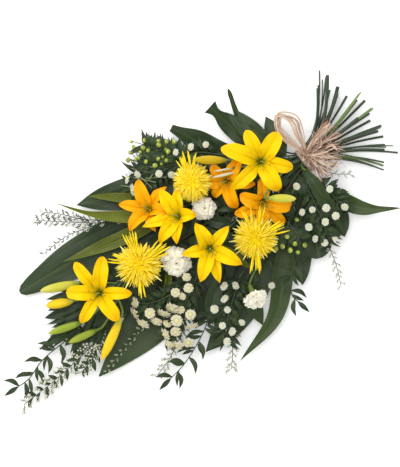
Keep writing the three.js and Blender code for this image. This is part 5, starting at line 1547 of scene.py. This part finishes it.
def make_stage(settings):
    """A pale floor, soft light, and a camera that looks straight down as the photograph does."""
    bpy.ops.mesh.primitive_plane_add(size=8, location=(0.25, 0, 0))
    floor = bpy.context.object
    floor.name = "floor"
    floor.data.materials.append(floor_finish("floor", settings.floor_colour))
    world = bpy.data.worlds.new("studio")
    world.use_nodes = True
    world.node_tree.nodes["Background"].inputs["Color"].default_value = (1, 1, 1, 1)
    world.node_tree.nodes["Background"].inputs["Strength"].default_value = settings.room_light
    bpy.context.scene.world = world
    right = Vector((-math.cos(VIEW_TURN), math.sin(VIEW_TURN), 0))
    above = Vector((-math.sin(VIEW_TURN), -math.cos(VIEW_TURN), 0))
    centre = Vector(VIEW_CENTRE) * MM
    key = bpy.data.lights.new("key", "AREA")
    key.shape = "DISK"
    key.size = settings.key_size
    key.energy = settings.key_power
    lamp = bpy.data.objects.new("key", key)
    lamp.location = centre - 0.7 * right + 0.9 * above + Vector((0, 0, 1.7))
    lamp.rotation_euler = (centre - lamp.location).to_track_quat("-Z", "Y").to_euler()
    bpy.context.scene.collection.objects.link(lamp)
    camera = bpy.data.cameras.new("camera")
    camera.sensor_fit = "VERTICAL"
    camera.sensor_height = 24
    camera.lens = settings.focal_length
    seat = bpy.data.objects.new("camera", camera)
    distance = camera.lens / camera.sensor_height * PHOTO_HEIGHT * PIXEL * MM
    turn = Matrix((right, above, Vector((0, 0, 1)))).transposed()
    seat.matrix_world = Matrix.Translation(centre + Vector((0, 0, distance))) @ turn.to_4x4()
    camera.clip_end = 20
    bpy.context.scene.collection.objects.link(seat)
    bpy.context.scene.camera = seat
    bpy.context.scene.view_settings.view_transform = "Standard"


# Settings, operators and panel.


def colour_setting(name, description, default):
    return FloatVectorProperty(name=name, description=description, default=default, subtype="COLOR",
                               min=0, max=1)


def size_setting(name, description, default, low, high, **kind):
    return FloatProperty(name=name, description=description, default=default, min=low, max=high, **kind)


def count_setting(name, description, default, low, high):
    return IntProperty(name=name, description=description, default=default, min=low, max=high)


class SheafColours(bpy.types.PropertyGroup):
    leaf: colour_setting("Broad leaf", "Deep green of the broad leaves", (0.01, 0.027, 0.008))
    lily_leaf: colour_setting("Lily leaf", "Yellow green of the lily leaves", (0.2, 0.23, 0.02))
    stem: colour_setting("Stem", "Green of the stems", (0.018, 0.034, 0.018))
    lily: colour_setting("Lily", "Yellow of the open lilies", (0.87, 0.61, 0.0))
    chrysanthemum: colour_setting("Chrysanthemum", "Gold of the florets", (1.0, 0.74, 0.0))
    carnation: colour_setting("Carnation", "Cream white of the carnations", (1.0, 0.94, 0.76))
    berry: colour_setting("Berry", "Green of the berries", (0.17, 0.23, 0.02))
    raffia: colour_setting("Raffia", "Pale tan of the raffia", (0.74, 0.57, 0.44))


class SheafSizes(bpy.types.PropertyGroup):
    thickness: size_setting("Leaf thickness", "Thickness of the broad leaves in millimetres", 0.6, 0.3, 1.2)
    edge_wave: size_setting("Leaf wave", "How far leaf edges wave, in millimetres", 1.1, 0, 4)
    petal_wave: size_setting("Petal wave", "How far lily petals' edges wave, in millimetres", 1.6, 0, 4)
    heart_florets: count_setting("Heart florets", "Short florets in each chrysanthemum's heart",
                                 1150, 20, 2000)
    carnation_petals: count_setting("Carnation petals", "Ruffled petals in each carnation", 44, 10, 90)
    wraps: count_setting("Wraps", "Strands wound round the stems", 14, 6, 30)
    knot_strands: count_setting("Knot strands", "Strands in the raffia's knot", 22, 5, 60)
    loop_strands: count_setting("Loop strands", "Strands in the raffia's loop", 17, 5, 40)
    tail_strands: count_setting("Tail strands", "Frayed ends of the raffia", 170, 10, 300)


class SheafStage(bpy.types.PropertyGroup):
    floor_colour: colour_setting("Floor", "Colour of the floor", (0.97, 0.97, 0.97))
    room_light: size_setting("Room light", "Strength of the light from all round", 0.86, 0, 3)
    key_power: size_setting("Key light", "Power of the soft lamp in watts", 32, 0, 500)
    key_size: size_setting("Key size", "Width of the soft lamp", 2.6, 0.1, 5, unit="LENGTH")
    focal_length: size_setting("Focal length", "The camera's lens in millimetres", 170, 50, 400)


class SHEAF_OT_finishes(bpy.types.Operator):
    """Make the materials of petals, leaves, stems and raffia"""

    bl_idname = "sheaf.finishes"
    bl_label = "Finishes"
    bl_options = {"REGISTER"}

    def execute(self, context):
        make_finishes(context.scene.sheaf_colours)
        return {"FINISHED"}


class SHEAF_OT_broad_leaves(bpy.types.Operator):
    """Grow the broad leaves with their stalks"""

    bl_idname = "sheaf.broad_leaves"
    bl_label = "Broad leaves"
    bl_options = {"REGISTER"}

    def execute(self, context):
        sizes = context.scene.sheaf_sizes
        for index in range(len(BROAD_LEAVES)):
            grow_broad_leaf(index, sizes)
        grow_folded_leaf()
        return {"FINISHED"}


class SHEAF_OT_lilies(bpy.types.Operator):
    """Grow the lily stems, leaves, blooms and buds"""

    bl_idname = "sheaf.lilies"
    bl_label = "Lilies"
    bl_options = {"REGISTER"}

    def execute(self, context):
        sizes = context.scene.sheaf_sizes
        for number in range(1, 5):
            grow_lily_stem(number)
        for index in range(len(LILY_BLOOMS)):
            grow_lily_bloom(index, sizes)
        for index in range(len(LILY_BUDS)):
            grow_lily_bud(index)
        return {"FINISHED"}


class SHEAF_OT_chrysanthemums(bpy.types.Operator):
    """Grow the spider chrysanthemums with their stems"""

    bl_idname = "sheaf.chrysanthemums"
    bl_label = "Chrysanthemums"
    bl_options = {"REGISTER"}

    def execute(self, context):
        sizes = context.scene.sheaf_sizes
        for number in range(1, len(CHRYSANTHEMUM_HEADS) + 1):
            grow_chrysanthemum_stem(number)
            grow_chrysanthemum_head(number, sizes)
        return {"FINISHED"}


class SHEAF_OT_carnations(bpy.types.Operator):
    """Grow the carnations with their stems"""

    bl_idname = "sheaf.carnations"
    bl_label = "Carnations"
    bl_options = {"REGISTER"}

    def execute(self, context):
        sizes = context.scene.sheaf_sizes
        for number in range(1, len(CARNATION_HEADS) + 1):
            grow_carnation_stem(number)
            grow_carnation_head(number, sizes)
        return {"FINISHED"}


class SHEAF_OT_sprays(bpy.types.Operator):
    """Grow the sprays of daisies, berries, ruscus and seed cases"""

    bl_idname = "sheaf.sprays"
    bl_label = "Sprays"
    bl_options = {"REGISTER"}

    def execute(self, context):
        daisies = [daisy_template(rays, seed) for seed, rays in enumerate((17, 19, 18, 20))]
        for number in range(1, len(DAISY_SPRAYS) + 1):
            grow_daisy_spray(number, daisies)
        for number in range(1, len(BERRY_SPRAYS) + 1):
            grow_berry_spray(number)
        for number in range(1, len(RUSCUS_TWIGS) + 1):
            grow_ruscus_spray(number)
        sprigs = [seed_template(seed) for seed in range(5)]
        for number in range(1, len(GRASS_TWIGS) + 1):
            grow_grass_spray(number, sprigs)
        return {"FINISHED"}


class SHEAF_OT_raffia(bpy.types.Operator):
    """Wind and knot the raffia"""

    bl_idname = "sheaf.raffia"
    bl_label = "Raffia"
    bl_options = {"REGISTER"}

    def execute(self, context):
        sizes = context.scene.sheaf_sizes
        grow_raffia(sizes)
        return {"FINISHED"}


class SHEAF_OT_stage(bpy.types.Operator):
    """Lay the floor and set the light and the camera"""

    bl_idname = "sheaf.stage"
    bl_label = "Stage"
    bl_options = {"REGISTER"}

    def execute(self, context):
        make_stage(context.scene.sheaf_stage)
        return {"FINISHED"}


OPERATORS = [
    SHEAF_OT_finishes, SHEAF_OT_broad_leaves, SHEAF_OT_lilies, SHEAF_OT_chrysanthemums, SHEAF_OT_carnations,
    SHEAF_OT_sprays, SHEAF_OT_raffia, SHEAF_OT_stage,
]


class VIEW3D_PT_sheaf(bpy.types.Panel):
    """Settings and steps of the flower sheaf"""

    bl_label = "Flower sheaf"
    bl_space_type = "VIEW_3D"
    bl_region_type = "UI"
    bl_category = "Sheaf"

    def draw(self, context):
        scene = context.scene
        for group in (scene.sheaf_colours, scene.sheaf_sizes, scene.sheaf_stage):
            box = self.layout.box()
            for name in group.__annotations__:
                box.prop(group, name)
        for operator in OPERATORS:
            self.layout.operator(operator.bl_idname)


SETTINGS = {"sheaf_colours": SheafColours, "sheaf_sizes": SheafSizes, "sheaf_stage": SheafStage}


def register():
    for kind in (*SETTINGS.values(), *OPERATORS, VIEW3D_PT_sheaf):
        bpy.utils.register_class(kind)
    for name, kind in SETTINGS.items():
        setattr(bpy.types.Scene, name, PointerProperty(type=kind))


def unregister():
    for name in SETTINGS:
        delattr(bpy.types.Scene, name)
    for kind in (VIEW3D_PT_sheaf, *reversed(OPERATORS), *reversed(SETTINGS.values())):
        bpy.utils.unregister_class(kind)


def main():
    register()
    bpy.ops.sheaf.finishes()
    bpy.ops.sheaf.broad_leaves()
    bpy.ops.sheaf.lilies()
    bpy.ops.sheaf.chrysanthemums()
    bpy.ops.sheaf.carnations()
    bpy.ops.sheaf.sprays()
    bpy.ops.sheaf.raffia()
    bpy.ops.sheaf.stage()


if __name__ == "__main__":
    main()
